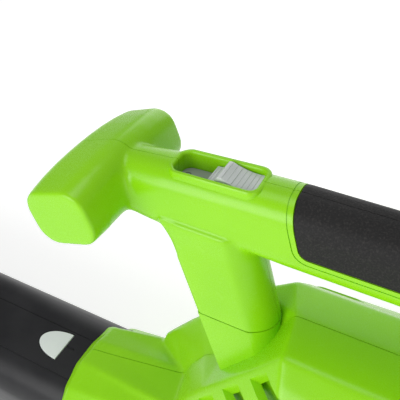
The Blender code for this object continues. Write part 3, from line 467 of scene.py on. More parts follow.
# The grip pads: soft black rubber moulded over the main grip in two halves, one on each shell, with
# a fine matt grain that glints a little. Each half lies flush in its seat.
rubber = Finish("grip_rubber", (0.011, 0.010, 0.010), 0.60, gloss=0.3)
pebble = rubber.cells(1500)
dust = rubber.noise(900, 3.0)
wear = rubber.noise(22, 3.0)
rubber.feed(Base_Color=rubber.mix(dust.between(0.45, 0.75), (0.0075, 0.0072, 0.0072), (0.022, 0.020, 0.019)),
            Roughness=0.50 + pebble * 0.16 + wear * 0.10,
            Normal=rubber.bump(pebble * 0.7 + dust * 0.5, 0.00012, 0.7))
pads = carved(skinned([along_x(x, grip_middle, grip_half_width, GRIP_HALF_HEIGHT, GRIP_CORNER)
                       for x in (pad_low.x - 0.01, pad_high.x + 0.01)]),
              ("&", extruded(pad_side(0), "Y", -0.03, 0.03)), ("-", grip_core(PAD_DEPTH)))
pads = fused(pads, 0.0007, 3)
for name, side in (("grip_pad_left", -1), ("grip_pad_right", 1)):
    piece_of(one_side(pads, side), name + "_rubber", rubber.material, "body", (name,))
pads.free()

# The switch: a grey moulded plate with a slot lies in the pocket, and a pale slider with a thumb ramp
# and fine cross ribs runs along it. A ring marks off, and a bar marks full speed.
slider_low, slider_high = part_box("speed_slider")
grey = Finish("grey_plastic", (0.30, 0.325, 0.305), 0.42)
mist = grey.noise(1800, 2.0)
grey.feed(Base_Color=grey.mix(grey.noise(60, 3.0), (0.285, 0.31, 0.29), (0.32, 0.345, 0.325)),
          Roughness=0.36 + mist * 0.14, Normal=grey.bump(mist, 0.00005, 0.5))
PLATE_SINK = 0.0014         # the plate's front end lies this much lower, under the slope
plate_face = plate_high.z - PLATE_SINK
plate_slot = block((-0.1185, -0.0032, 0.36), (-0.0915, 0.0032, 0.39))
plate = carved(skinned([rim_plan(0.0, z) for z in (plate_low.z - PLATE_SINK, plate_face)]), ("-", plate_slot))
piece_of(plate, "switch_plate_face", grey.material, "body", ("switch_plate",))

paint = Finish("mark_paint", (0.05, 0.055, 0.05), 0.5)
paint.feed(Roughness=0.42 + paint.noise(2500, 2.0) * 0.2)
MARK_HEIGHT = 0.00012


def ring_mark(place, radius, width):
    """A flat printed ring on the plate."""
    bm = bmesh.new()
    points = [(radius, 0), (radius + width, 0), (radius + width, MARK_HEIGHT), (radius, MARK_HEIGHT)]
    corners = [bm.verts.new((r, 0, h)) for r, h in points]
    edges = [bm.edges.new(pair) for pair in zip(corners, corners[1:] + corners[:1])]
    bmesh.ops.spin(bm, geom=corners + edges, axis=(0, 0, 1), cent=(0, 0, 0), steps=32, angle=math.tau,
                   use_merge=True)
    bmesh.ops.remove_doubles(bm, verts=bm.verts, dist=1e-7)
    bmesh.ops.translate(bm, vec=place, verts=bm.verts)
    bmesh.ops.recalc_face_normals(bm, faces=bm.faces)
    return bm


MARK_IN = 0.0042
piece_of(ring_mark((plate_low.x + MARK_IN, 0.0025, plate_face + MARK_IN * RIM_SLOPE), 0.0014, 0.0005),
         "switch_mark_off", paint.material, "body")
bar_x = plate_high.x - 0.0040
bar_z = plate_face + (bar_x - plate_low.x) * RIM_SLOPE
bar = block((bar_x - 0.0016, -0.0003, bar_z - 0.0001), (bar_x + 0.0016, 0.0003, bar_z + MARK_HEIGHT), 0.00005)
piece_of(bar, "switch_mark_on", paint.material, "body")

pale = Finish("pale_plastic", (0.56, 0.60, 0.58), 0.34)
haze = pale.noise(2000, 2.0)
pale.feed(Base_Color=pale.mix(pale.noise(70, 3.0), (0.53, 0.575, 0.555), (0.60, 0.635, 0.615)),
          Roughness=0.28 + haze * 0.14, Normal=pale.bump(haze, 0.00004, 0.5))


def smooth_line(points, steps=5):
    """A curve through the points, by cubic pieces."""
    padded = [points[0], *points, points[-1]]
    line = []
    for a, b, c, d in zip(padded, padded[1:], padded[2:], padded[3:]):
        for step in range(steps):
            t = step / steps
            line.append(tuple(0.5 * (2 * q + (r - p) * t + (2 * p - 5 * q + 4 * r - s) * t * t
                                     + (3 * q - p - 3 * r + s) * t ** 3) for p, q, r, s in zip(a, b, c, d)))
    return line + [points[-1]]


# Heights of the slider over its foot, from its rear end forwards.
RAMP = [(0, 0.0090), (0.0040, 0.0086), (0.0090, 0.0090), (0.0150, 0.0103), (0.0188, 0.0117), (0.0207, 0.0119)]
FALL = [(0.0218, 0.0113), (0.0228, 0.0096), (0.0240, 0.0072), (0.0256, 0.0062), (0.0284, 0.0060)]
foot = slider_high.z - RAMP[-1][1]
ramp_line = [(slider_high.x - back, foot + up) for back, up in smooth_line(RAMP + FALL)]
outline = [(slider_high.x, foot)] + ramp_line + [(slider_low.x + 0.0004, foot + 0.0045), (slider_low.x, foot)]
slider = extruded(outline, "Y", slider_low.y, slider_high.y, 0.0005)
RIB_HALF = 0.00022
ribs = []
for back in (0.0022, 0.0050, 0.0078, 0.0106, 0.0134, 0.0162, 0.0192, 0.0258, 0.0276):
    x = slider_high.x - back
    z = min(ramp_line, key=lambda point: abs(point[0] - x))[1]
    ribs.append(("+", block((x - RIB_HALF, slider_low.y + 0.0006, z - 0.0010),
                            (x + RIB_HALF, slider_high.y - 0.0006, z + 0.00032), 0.00012)))
stem = ("+", block((-0.0997, -0.0025, slider_low.z), (-0.0917, 0.0025, foot + 0.002)))
piece_of(carved(slider, stem, *ribs), "speed_slider_cap", pale.material, "slider",
         ("speed_slider",), 30.0)

# The body: two green nylon shells, screwed together from the motor's side. They hold the fan's scroll
# low down, the battery's bay behind and above, and run forwards into the collar of the blow tube.
BODY_WALL = 0.0030
BODY_GRAIN = 0.0019
BODY_SEAM = 0.0005
HOLLOW_INSET = 0.0065       # towards the fan's axis; its sides are BODY_WALL thick
BAFFLE_WALL = 0.0020
CREST = 0.031               # half width of the ridge between the shoulders
SCROLL_GROWTH = 0.024       # what the scroll's radius grows by
BELL_ROOM = 0.0112          # between the motor's end bell and the shell's outside
TUBE_CORNER = 0.035
TUBE_GAP = 0.0006           # between the tube and what it slides in
FLARE = 0.004               # how much wider the throat is at its mouth
left_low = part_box("housing_left")[0]
scroll_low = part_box("scroll_wall")[0]
tray_low, tray_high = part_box("battery_tray")
lid_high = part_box("battery_lid")[1]
grille_low, grille_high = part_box("intake_grille")
tube_low, tube_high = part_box("blow_tube")
axis_z = (grille_low.z + grille_high.z) / 2
tube_z = (tube_low.z + tube_high.z) / 2
tube_half = (tube_high.z - tube_low.z) / 2
far_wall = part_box("motor_end_bell")[1].y + BELL_ROOM
near_wall = grille_low.y
lip = scroll_low.x
fan_start = axis_z - scroll_low.z - SCROLL_GROWTH       # the scroll's radius where it begins
mouth = left_low.x
brow = body_top - 0.028

rear_line = [(fan_start + 0.026, left_low.z), (fan_start + 0.054, axis_z - 0.066),
             (fan_start + 0.062, axis_z + 0.014), (tray_high.x + 0.002, tray_low.z - 0.018),
             (tray_high.x + 0.004, brow), (tray_high.x - 0.012, body_top)]


def drum(radius, high, low):
    """Three points round the fan's axis at the front, at this radius and between two angles."""
    return [(-radius * math.cos(math.radians(angle)), axis_z + radius * math.sin(math.radians(angle)))
            for angle in (high, (high + low) / 2, low)]


near_line = [(lip - 0.010, left_low.z), *rear_line, (-0.048, body_top), (-0.066, brow),
             (lip - 0.002, brow - 0.047), *drum(0.132, 32, 14), (lip - 0.032, axis_z - 0.026),
             (lip - 0.028, left_low.z + 0.032)]
middle_line = [(lip - 0.014, left_low.z), *rear_line, (-0.050, body_top), (-0.064, brow + 0.004),
               (lip + 0.002, brow - 0.041), *drum(0.138, 35, 17), (lip - 0.052, axis_z - 0.016),
               (lip - 0.042, left_low.z + 0.032)]
far_line = [(lip - 0.014, left_low.z), *rear_line, (-0.060, body_top), (-0.090, brow),
            (lip - 0.034, brow - 0.053), (lip - 0.047, axis_z + 0.066), (lip - 0.058, axis_z + 0.051),
            (lip - 0.069, axis_z + 0.036), (lip - 0.084, axis_z - 0.016), (lip - 0.052, left_low.z + 0.032)]


def body_ring(line, y, inset=0.0, cut=0.0, roof=0.0):
    """One of the body's outlines at its Y: inset, cut back above the fan, and lower at the roof."""
    middle_x, middle_z = 0.010, axis_z + 0.014
    points = []
    for x, z in line:
        bevel = cut * min(1.0, max(0.15, (z - axis_z - 0.004) / 0.065))
        away = Vector((x - middle_x, z - axis_z - 0.014))
        away *= 1 - (inset + bevel) / away.length
        fall = roof if z > body_top - 0.001 else 0
        points.append((middle_x + away.x, y, middle_z + away.y - fall))
    return points


def body_skin(inset=0.0, side_inset=0.0):
    """The body's outer shape, or its hollow when it is inset: a shallow roof with cut-back shoulders."""
    return skinned([body_ring(near_line, near_wall + side_inset, inset, 0.024, 0.002),
                    body_ring(near_line, (near_wall + side_inset - CREST) / 2, inset, 0.0105, 0.0018),
                    body_ring(near_line, -CREST, inset, 0, 0.0015), body_ring(middle_line, 0, inset),
                    body_ring(far_line, CREST, inset, 0, 0.0045),
                    body_ring(far_line, (far_wall - side_inset + CREST) / 2, inset, 0.0145, 0.0055),
                    body_ring(far_line, far_wall - side_inset, inset, 0.030, 0.006)])


def collar_ring(x, points):
    """A facet line of the collar round the tube's axis."""
    return [(x, y, tube_z + z) for y, z in points]


def throat(grow, front, rear, rise=0.0):
    """The square-round way that the blow tube plugs into."""
    half, corner = tube_half + TUBE_GAP + grow, TUBE_CORNER + grow
    return skinned([along_x(front, tube_z, half, half, corner),
                    along_x(rear, tube_z + rise, half, half + rise, corner)])


def barrel(x, z, radius, low, high, steps):
    """A closed round bar along Y."""
    bm = bmesh.new()
    bmesh.ops.create_cone(bm, cap_ends=True, segments=steps, radius1=radius, radius2=radius, depth=high - low)
    bmesh.ops.rotate(bm, cent=(0, 0, 0), matrix=Matrix.Rotation(math.radians(-90), 3, "X"), verts=bm.verts)
    bmesh.ops.translate(bm, vec=(x, (low + high) / 2, z), verts=bm.verts)
    return bm


def leaned(points, low, high, rounding):
    """An outline in XZ pushed along Y between two places, with round corners."""
    bm = extruded(points, "Y", low, high)
    sides = [edge for edge in bm.edges if abs(edge.verts[0].co.y - edge.verts[1].co.y) > 1e-6]
    bmesh.ops.bevel(bm, geom=sides, offset=rounding, segments=4, profile=0.5, affect="EDGES", material=-1)
    return bm


def middle_of(name):
    """The middle of a node's box."""
    low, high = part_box(name)
    return (low + high) / 2


mouth_low = [(0.057, -0.022), (0.046, -0.048), (0.025, -0.0575),
             (-0.025, -0.0575), (-0.046, -0.048), (-0.057, -0.022)]
collar_low = [(0.063, -0.022), (0.050, -0.052), (0.025, -0.0625),
              (-0.025, -0.0625), (-0.050, -0.052), (-0.063, -0.022)]
body = body_skin()
skin(body, [
    collar_ring(mouth, [(-0.015, 0.0570), (0.010, 0.0570), (0.033, 0.0535), (0.047, 0.039), (0.057, 0.020),
                        *mouth_low, (-0.057, 0.016), (-0.049, 0.034), (-0.033, 0.050)]),
    collar_ring(mouth + 0.009, [(-0.015, 0.067), (0.010, 0.066), (0.034, 0.0580), (0.051, 0.034),
                                (0.063, 0.022), *collar_low, (-0.063, 0.018), (-0.055, 0.040),
                                (-0.038, 0.057)]),
    collar_ring(lip - 0.007, [(-0.034, 0.101), (0.002, 0.103), (0.034, 0.098), (0.055, 0.060),
                              (0.063, 0.038), *collar_low, (-0.063, 0.038), (-0.056, 0.073),
                              (-0.040, 0.094)])])
body = fused(body, BODY_GRAIN, 3)

# A baffle inside each row of air slots keeps water off the board. The stub that carries the post is
# joined on, then the hollow, the throat and its flared mouth are cut.
baffle_inset, baffle_side = 0.0135, 0.0100
baffle = carved(body_skin(baffle_inset, baffle_side),
                ("-", body_skin(baffle_inset + BAFFLE_WALL, baffle_side + BAFFLE_WALL)),
                ("&", block((-0.150, -0.1, 0.195), (-0.014, 0.1, body_top - 0.010))),
                ("-", block((-1, -0.030, 0), (1, 0.030, 1))))
bore_half = tube_half + TUBE_GAP
flare_half = bore_half + FLARE
cuts = [("+", skinned([post_section(post_seam - 0.075), post_section(post_seam - 0.0008)])),
        ("-", block((mouth - 0.1, -0.1, 0), (mouth + 0.0006, 0.1, 0.2))),
        ("-", body_skin(HOLLOW_INSET, BODY_WALL)),
        ("-", throat(0.0, mouth - 0.01, tube_high.x + 0.004)),
        ("-", throat(-0.004, tube_high.x, lip - 0.012, 0.008)),
        ("+", baffle),
        ("-", skinned([along_x(mouth - 0.001, tube_z, flare_half, flare_half, TUBE_CORNER + FLARE),
                       along_x(mouth + 0.0040, tube_z, bore_half, bore_half, TUBE_CORNER)]))]
screws = [f"housing_screw_{number + 1}" for number in range(5)]
SCREW_SEAT = 0.0163
BOSS_RADIUS = 0.0055
HEAD_HOLE, SHANK_HOLE = 0.0042, 0.0021
for name in screws[:-1]:
    spot = middle_of(name)
    boss = barrel(spot.x, spot.z, BOSS_RADIUS, near_wall + 0.001, far_wall - 0.001, 24)
    cuts.append(("+", carved(boss, ("&", body_skin(0.0015, 0.0015)))))
for name in screws:
    spot = middle_of(name)
    cuts.append(("-", barrel(spot.x, spot.z, HEAD_HOLE, SCREW_SEAT - 0.0034, 0.09, 24)))
    cuts.append(("-", barrel(spot.x, spot.z, SHANK_HOLE, -0.0135, SCREW_SEAT, 16)))
BAY_GAP = 0.0012            # round the battery at its opening
cuts.append(("-", block((tray_high.x - 0.020, tray_low.y - BAY_GAP, tray_low.z - BAY_GAP),
                        (tray_high.x + 0.02, tray_high.y + BAY_GAP, lid_high.z + BAY_GAP), 0.0015)))
cuts.append(("-", barrel(0, axis_z, (grille_high.z - grille_low.z) / 2 + 0.0003, near_wall - 0.01,
                         near_wall + 0.010, 96)))
SLOT_ROWS = 3
SLOT_STEP = 0.0255
SLOT_SHIFT = 0.017          # how far each row starts ahead of the one above
SLOT_HEIGHT = 0.0146
for side in (-1, 1):
    inner, outer = sorted((side * 0.035, side * (far_wall + 0.02)))
    for row in range(SLOT_ROWS):
        middle = body_top - 0.024 - row * SLOT_STEP
        low, high = middle - SLOT_HEIGHT / 2, middle + SLOT_HEIGHT / 2
        front, rear = -0.078 - row * SLOT_SHIFT, -0.018 - row * SLOT_SHIFT
        lean = SLOT_HEIGHT * 0.42 / 2
        corners = [(front - lean, low), (rear - lean, low), (rear + lean, high), (front + lean, high)]
        cuts.append(("-", leaned(corners, inner, outer, 0.0018)))
body = carved(body, *cuts)
for name, side in (("housing_left", -1), ("housing_right", 1)):
    piece_of(one_side(body, side, BODY_SEAM), name + "_shell", green.material, "body", (name,))
body.free()

# The blow tube: a square-round polypropylene tube with two fine grooves along its top, a cup for its
# release button and an even wall. It slides forwards out of the collar when the button is pressed.
TUBE_WALL = 0.0025
black = Finish("black_plastic", (0.020, 0.020, 0.022), 0.30, gloss=0.20)
satin = black.noise(1900, 2.0)
haze = black.noise(30, 3.0)
scuff = black.noise(260, 5.0, black.stretched((0.06, 1.0, 1.0))).between(0.60, 0.78)
black.feed(Base_Color=black.mix(haze.between(0.35, 0.7), (0.017, 0.017, 0.019), (0.023, 0.023, 0.025)),
           Roughness=0.24 + satin * 0.12 + haze * 0.06 + scuff * 0.08,
           Normal=black.bump(satin + scuff * 0.5, 0.00004, 0.5))
button_low, button_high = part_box("tube_button")


def half_moon(grow):
    """The button's outline in XY, or a larger one: round towards the nozzle, flat towards the body."""
    middle_y = (button_low.y + button_high.y) / 2
    half_y = (button_high.y - button_low.y) / 2 + grow
    length = button_high.x - button_low.x + 2 * grow
    return [(button_high.x + grow - length * math.sin(angle), middle_y + half_y * math.cos(angle))
            for angle in (math.pi * step / 32 for step in range(33))]


def tube_rings(grow, *stations):
    """The tube's sections at each (x, middle z, half width, half height)."""
    return [along_x(x, z, half_y + grow, half_z + grow, min(TUBE_CORNER, half_z * 0.8) + grow)
            for x, z, half_y, half_z in stations]


cup_floor = button_low.z - 0.0067
tube = carved(
    skinned(tube_rings(0, (tube_low.x, tube_z, tube_half - 0.0008, tube_half - 0.0008),
                       (tube_low.x + 0.0012, tube_z, tube_half, tube_half),
                       (tube_high.x, tube_z, tube_half, tube_half))),
    ("-", skinned(tube_rings(-TUBE_WALL, (tube_low.x - 0.01, tube_z, tube_half, tube_half),
                             (tube_high.x + 0.01, tube_z, tube_half, tube_half)))),
    ("+", extruded(half_moon(0.0030), "Z", cup_floor - 0.0025, tube_high.z - 0.001)),
    ("-", extruded(half_moon(0.0008), "Z", cup_floor, tube_high.z + 0.01)))
GROOVE = 0.0006
FLAT_HALF = 0.020           # half width of the tube's flat top
for y, width in ((-0.0300, 0.0016), (0.0130, 0.0010)):
    past = max(0.0, abs(y) - FLAT_HALF)
    line = tube_high.z - (TUBE_CORNER - math.sqrt(TUBE_CORNER ** 2 - past ** 2))
    tube = carved(tube, ("-", block((tube_low.x + 0.030, y - width / 2, line - GROOVE),
                                    (mouth + 0.010, y + width / 2, line + 0.01), 0.0002)))
drain = block((button_high.x + 0.0008, -0.0040, tube_high.z - 0.0012),
              (button_high.x + 0.0100, -0.0018, tube_high.z + 0.01), 0.0003)
tube = carved(tube, ("-", drain))
piece_of(tube, "blow_tube_shell", black.material, "tube", ("blow_tube",))
chalk = Finish("button_plastic", (0.70, 0.75, 0.72), 0.36)
veil = chalk.noise(2000, 2.0)
chalk.feed(Base_Color=chalk.mix(chalk.noise(70, 3.0), (0.68, 0.735, 0.705), (0.74, 0.785, 0.755)),
           Roughness=0.30 + veil * 0.14, Normal=chalk.bump(veil, 0.00004, 0.5))
cap = extruded(half_moon(0), "Z", button_low.z, button_high.z, 0.0008)
piece_of(cap, "tube_button_cap", chalk.material, "tube_release", ("tube_button",))

# The nozzle: a flat-mouthed black polypropylene end that slides over the front of the tube, with a
# grip band round its sleeve.
nozzle_low, nozzle_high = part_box("nozzle")
sleeve_half = tube_half + TUBE_GAP + TUBE_WALL
taper_end = tube_low.x - 0.012
MOUTH_HALF = (0.062, 0.020)
mouth_z = tube_z - 0.020
shape = [(nozzle_low.x, mouth_z, *MOUTH_HALF)]
for share in (0.12, 0.3, 0.5, 0.7, 0.88, 1.0):
    blend = share * share * (3 - 2 * share) * 0.5 + share * 0.5
    shape.append((nozzle_low.x + (taper_end - nozzle_low.x) * share, mouth_z + (tube_z - mouth_z) * blend,
                  MOUTH_HALF[0] + (sleeve_half - MOUTH_HALF[0]) * blend,
                  MOUTH_HALF[1] + (sleeve_half - MOUTH_HALF[1]) * blend))
outer = skinned(tube_rings(0, *shape, (nozzle_high.x - 0.0010, tube_z, sleeve_half, sleeve_half),
                           (nozzle_high.x, tube_z, sleeve_half - 0.0009, sleeve_half - 0.0009)))
inner = skinned(tube_rings(-TUBE_WALL, (nozzle_low.x - 0.001, mouth_z, *MOUTH_HALF), *shape[1:-1],
                           (taper_end, tube_z, sleeve_half - 0.0008, sleeve_half - 0.0008),
                           (tube_low.x - 0.0005, tube_z, sleeve_half - 0.0008, sleeve_half - 0.0008)))
socket = throat(0.0, tube_low.x - 0.0008, nozzle_high.x + 0.01)
nozzle = carved(outer, ("-", inner), ("-", socket))
BANDS = 5
BAND_STEP = 0.0055
BAND_HALF = 0.0011
for number in range(BANDS):
    x = nozzle_high.x - 0.010 - number * BAND_STEP
    band = carved(skinned(tube_rings(0.0006, (x - BAND_HALF, tube_z, sleeve_half, sleeve_half),
                                     (x + BAND_HALF, tube_z, sleeve_half, sleeve_half))),
                  ("-", skinned(tube_rings(-0.0004, (x - 0.01, tube_z, sleeve_half, sleeve_half),
                                           (x + 0.01, tube_z, sleeve_half, sleeve_half)))))
    nozzle = carved(nozzle, ("+", band))
piece_of(nozzle, "nozzle_shell", black.material, "nozzle_piece", ("nozzle",))

# The intake grille: a black disc clipped into the near shell, with slots between its bars, a rolled rim
# and a cross of ribs behind the bars, so that the fan can be seen but not touched.
RIM_WIDTH = 0.0075
GRILLE_PITCH = 0.0105
GRILLE_SLOT = 0.0062
grille_radius = (grille_high.z - grille_low.z) / 2


def turned(profile, place, steps=96):
    """A profile of (radius, depth) turned about an axis along Y through a place."""
    bm = bmesh.new()
    ring = [bm.verts.new((radius, depth, 0)) for radius, depth in profile]
    edges = [bm.edges.new(pair) for pair in zip(ring, ring[1:] + ring[:1])]
    bmesh.ops.spin(bm, geom=ring + edges, axis=(0, 1, 0), cent=(0, 0, 0), steps=steps, angle=math.tau,
                   use_merge=True)
    bmesh.ops.remove_doubles(bm, verts=bm.verts, dist=1e-6)
    bmesh.ops.translate(bm, vec=place, verts=bm.verts)
    bmesh.ops.recalc_face_normals(bm, faces=bm.faces)
    return bm


grille = barrel(0, axis_z, grille_radius - 0.003, grille_low.y + 0.0004, grille_high.y - 0.0004, 96)
window = barrel(0, axis_z, grille_radius - RIM_WIDTH, grille_low.y - 0.01, grille_high.y + 0.01, 96)
slots = []
for row in range(-4, 5):
    z = axis_z + row * GRILLE_PITCH
    slot = block((-0.1, grille_low.y - 0.005, z - GRILLE_SLOT / 2),
                 (0.1, grille_high.y + 0.005, z + GRILLE_SLOT / 2), 0.0006)
    slots.append(("-", carved(slot, ("&", window.copy()))))
window.free()
window_radius = grille_radius - RIM_WIDTH
rim_ring = turned([(window_radius, grille_high.y), (window_radius, grille_low.y + 0.0006),
                   (window_radius + 0.0010, grille_low.y), (grille_radius - 0.0014, grille_low.y),
                   (grille_radius - 0.0004, grille_low.y + 0.0007), (grille_radius, grille_low.y + 0.0018),
                   (grille_radius, grille_high.y)], (0, 0, axis_z))
ribs = [("+", block((x - 0.0014, grille_high.y - 0.0022, axis_z - grille_radius + 0.006),
                    (x + 0.0014, grille_high.y - 0.0002, axis_z + grille_radius - 0.006), 0.0003))
        for x in (-0.026, 0.0, 0.026)]
grille = carved(grille, *slots, ("+", rim_ring), *ribs)
piece_of(grille, "intake_grille_disc", black.material, "body", ("intake_grille",))

# The feet: three bars of the grip's black rubber, pressed into the base of the body. Each has four
# grip grooves across its tread.
TREAD_STEP = 0.0056
for name in ("front_foot", "middle_foot", "rear_foot"):
    low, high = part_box(name)
    tread = [("-", block((low.x + 0.0036 + step * TREAD_STEP, low.y - 0.01, low.z - 0.01),
                         (low.x + 0.0054 + step * TREAD_STEP, high.y + 0.01, low.z + 0.0010)))
             for step in range(4)]
    bar = carved(block(low, high, 0.0016), *tread)
    piece_of(bar, name + "_rubber", rubber.material, "body", (name,))

# The battery: a black tray and lid round the cells, with finger grooves on its sides and a grey latch
# button at the rear. It slides into the bay on its side rails.
SHELL = 0.002
FINGER_STEP = 0.0042
LOUVRE_STEP = 0.0062
lid_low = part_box("battery_lid")[0]
latch_low, latch_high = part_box("latch_button")
shell_dark = Finish("battery_plastic", (0.018, 0.018, 0.020), 0.42)
fine = shell_dark.noise(2600, 2.0)
shade = shell_dark.noise(40, 3.0)
shell_dark.feed(Base_Color=shell_dark.mix(shade, (0.015, 0.015, 0.017), (0.024, 0.024, 0.026)),
                Roughness=0.36 + fine * 0.16, Normal=shell_dark.bump(fine, 0.00006, 0.7))
tray = carved(block(tray_low, tray_high, 0.003),
              ("-", block(tray_low + Vector((SHELL, SHELL, SHELL)),
                          (tray_high.x - 0.006, tray_high.y - SHELL, tray_high.z + 0.01))))
grooves = []
for side in (-1, 1):
    wall = side * tray_high.y
    low_y, high_y = sorted((wall - side * 0.0007, wall + side * 0.01))
    for step in range(7):
        x = tray_high.x - 0.012 - step * FINGER_STEP
        grooves.append(("-", block((x - 0.0011, low_y, tray_low.z + 0.008),
                                   (x + 0.0011, high_y, tray_high.z - 0.006), 0.0003)))
back_panel = [("-", block((tray_high.x - 0.0006, -0.026, tray_low.z + 0.008 + step * LOUVRE_STEP),
                          (tray_high.x + 0.01, 0.026, tray_low.z + 0.0104 + step * LOUVRE_STEP), 0.0003))
              for step in range(5)]
tray = carved(tray, *grooves, *back_panel)
piece_of(tray, "battery_tray_shell", shell_dark.material, "battery", ("battery_tray",))

# The lid's cuts: its hollow, the latch's opening, three windows for the contacts and four grooves on top.
lid_inside = lid_high.z - 0.0025
lid_cuts = [("-", block(lid_low + Vector((SHELL, SHELL, -0.01)),
                        (lid_high.x - 0.018, lid_high.y - SHELL, lid_inside))),
            ("-", block((lid_high.x - 0.0155, latch_low.y - 0.0005, lid_low.z + 0.004),
                        (lid_high.x + 0.01, latch_high.y + 0.0005, lid_high.z - 0.003), 0.0008))]
for y in (-0.014, 0.0, 0.014):
    lid_cuts.append(("-", block((lid_low.x - 0.01, y - 0.002, lid_high.z - 0.012),
                                (lid_low.x + 0.01, y + 0.002, lid_inside))))
for y in (-0.024, -0.016, 0.016, 0.024):
    lid_cuts.append(("-", block((lid_low.x + 0.030, y - 0.0016, lid_high.z - 0.0008),
                                (lid_high.x - 0.022, y + 0.0016, lid_high.z + 0.01), 0.0003)))
lid = carved(block(lid_low, lid_high, 0.003), *lid_cuts)
piece_of(lid, "battery_lid_shell", shell_dark.material, "battery", ("battery_lid",))
LATCH_GROOVES = 4
latch_cuts = []
for step in range(LATCH_GROOVES):
    z = latch_low.z + 0.0022 + step * 0.0020
    latch_cuts.append(("-", block((latch_high.x - 0.0006, latch_low.y + 0.0022, z),
                                  (latch_high.x + 0.01, latch_high.y - 0.0022, z + 0.0008))))
latch = carved(block(latch_low, latch_high, 0.0009), *latch_cuts)
piece_of(latch, "latch_button_cap", grey.material, "battery_latch", ("latch_button",))

# The screws: nine thread-forming steel screws with a pan head and a cross recess. They are driven from
# the motor's side into the other shell's bosses, five in the body and four in the handle.
HEAD_RADIUS = 0.0037
HEAD_HEIGHT = 0.0026
SHANK_RADIUS = 0.0014
THREAD_RADIUS = 0.0020
THREAD_PITCH = 0.0012
RECESS_HALF = (0.0018, 0.00045)     # half length and half width of each arm


def steel_finish(name, color, roughness):
    """Bright metal with fine marks of the tool that turned it."""
    metal = Finish(name, color, roughness, 1.0)
    marks = metal.noise(900, 3.0, metal.stretched((1.0, 6.0, 1.0)))
    stain = metal.noise(60, 4.0)
    metal.feed(Base_Color=metal.mix(stain.between(0.4, 0.75), color, tuple(part * 0.82 for part in color)),
               Roughness=roughness - 0.05 + marks * 0.16, Normal=metal.bump(marks, 0.00003, 0.5))
    return metal


steel = steel_finish("screw_steel", (0.55, 0.55, 0.56), 0.30)
for name in screws + [f"handle_screw_{number + 1}" for number in range(4)]:
    low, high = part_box(name)
    middle = middle_of(name)
    face = high.y
    shank = [(0, low.y), (0.0008, low.y + 0.0004), (0.0017, low.y + 0.0022)]
    threads = int((face - HEAD_HEIGHT - low.y - 0.0034) / THREAD_PITCH)
    for turn in range(threads):
        start = low.y + 0.0024 + turn * THREAD_PITCH
        shank += [(SHANK_RADIUS, start), (THREAD_RADIUS, start + 0.0005), (SHANK_RADIUS, start + 0.0010)]
    shank += [(0.0017, face - HEAD_HEIGHT), (HEAD_RADIUS, face - HEAD_HEIGHT), (HEAD_RADIUS, face - 0.0010),
              (HEAD_RADIUS - 0.0007, face - 0.0003), (HEAD_RADIUS - 0.0018, face), (0, face)]
    screw = turned(shank, (middle.x, 0, middle.z), 20)
    cross = [("-", block((middle.x - half_x, face - 0.0013, middle.z - half_z),
                         (middle.x + half_x, face + 0.01, middle.z + half_z)))
             for half_x, half_z in (RECESS_HALF, RECESS_HALF[::-1])]
    piece_of(carved(screw, *cross), name + "_thread", steel.material, "body", (name,), 30.0)

# The working parts inside keep their shapes and get their finishes: moulded scroll and fan, turned steel,
# cast alloy, wrapped cells, green boards and red leads.
CELLS = 8


def dressed(finish, *names):
    """Gives nodes of the frame their finish."""
    for name in names:
        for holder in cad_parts[name].material_slots:
            holder.material = finish.material


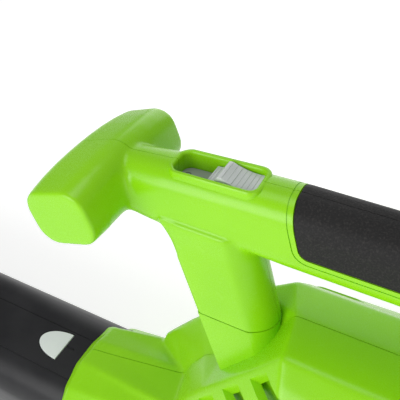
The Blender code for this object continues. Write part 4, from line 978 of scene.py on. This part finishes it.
turned_steel = steel_finish("turned_steel", (0.60, 0.60, 0.61), 0.28)
dressed(turned_steel, "motor_can", "front_bearing", "rear_bearing", "motor_shaft", "motor_rotor",
        "latch_spring", "tube_button_spring")
cast = Finish("cast_alloy", (0.66, 0.66, 0.68), 0.42, 1.0)
pits = cast.noise(700, 4.0)
cast.feed(Base_Color=cast.mix(pits.between(0.4, 0.7), (0.58, 0.58, 0.60), (0.70, 0.70, 0.72)),
          Roughness=0.34 + pits * 0.2, Normal=cast.bump(pits, 0.00008, 0.6))
brass = steel_finish("fan_brass", (0.72, 0.50, 0.22), 0.30)
dressed(cast, "heat_sink", "fan_impeller")
dressed(brass, "fan_nut")
dressed(grey, "scroll_wall", "scroll_cover", "motor_bracket", "motor_end_bell", "slider_carriage")
dressed(black, "terminal_block")
board = Finish("circuit_board", (0.02, 0.14, 0.045), 0.38)
copper = board.noise(90, 1.0).between(0.48, 0.52)
board.feed(Base_Color=board.mix(copper, (0.015, 0.12, 0.038), (0.032, 0.19, 0.060)),
           Roughness=0.30 + copper * 0.12, Normal=board.bump(copper, 0.00004, 0.8))
dressed(board, "control_board", "battery_board", "slide_control")
wrap = Finish("cell_wrap", (0.04, 0.15, 0.40), 0.34)
wrinkle = wrap.noise(180, 3.0, wrap.stretched((1.0, 0.25, 1.0)))
wrap.feed(Base_Color=wrap.mix(wrinkle.between(0.35, 0.7), (0.035, 0.13, 0.36), (0.055, 0.18, 0.46)),
          Roughness=0.28 + wrinkle * 0.16, Normal=wrap.bump(wrinkle, 0.00012, 0.5))
dressed(wrap, *[f"battery_cell_{number + 1}" for number in range(CELLS)])
lead = Finish("lead_insulation", (0.42, 0.012, 0.012), 0.40)
dull = lead.noise(400, 3.0)
lead.feed(Base_Color=lead.mix(dull, (0.36, 0.010, 0.010), (0.48, 0.016, 0.016)), Roughness=0.32 + dull * 0.2,
          Normal=lead.bump(dull, 0.00004, 0.5))
dressed(lead, "motor_lead_a", "motor_lead_b", "switch_lead")

# The floor: a broad matt white sheet of studio paper under the blower, which gives off a little light
# of its own so that it stays white to its edge.
ground = bmesh.new()
bmesh.ops.create_grid(ground, x_segments=1, y_segments=1, size=6.0)
floor_paint = Finish("floor_paint", (0.88, 0.88, 0.88), 0.6)
floor_paint.shader.inputs["Emission Color"].default_value = (1.0, 1.0, 1.0, 1.0)
floor_paint.shader.inputs["Emission Strength"].default_value = 0.45
floor = linked(ground, "studio_floor")
floor.data.materials.append(floor_paint.material)
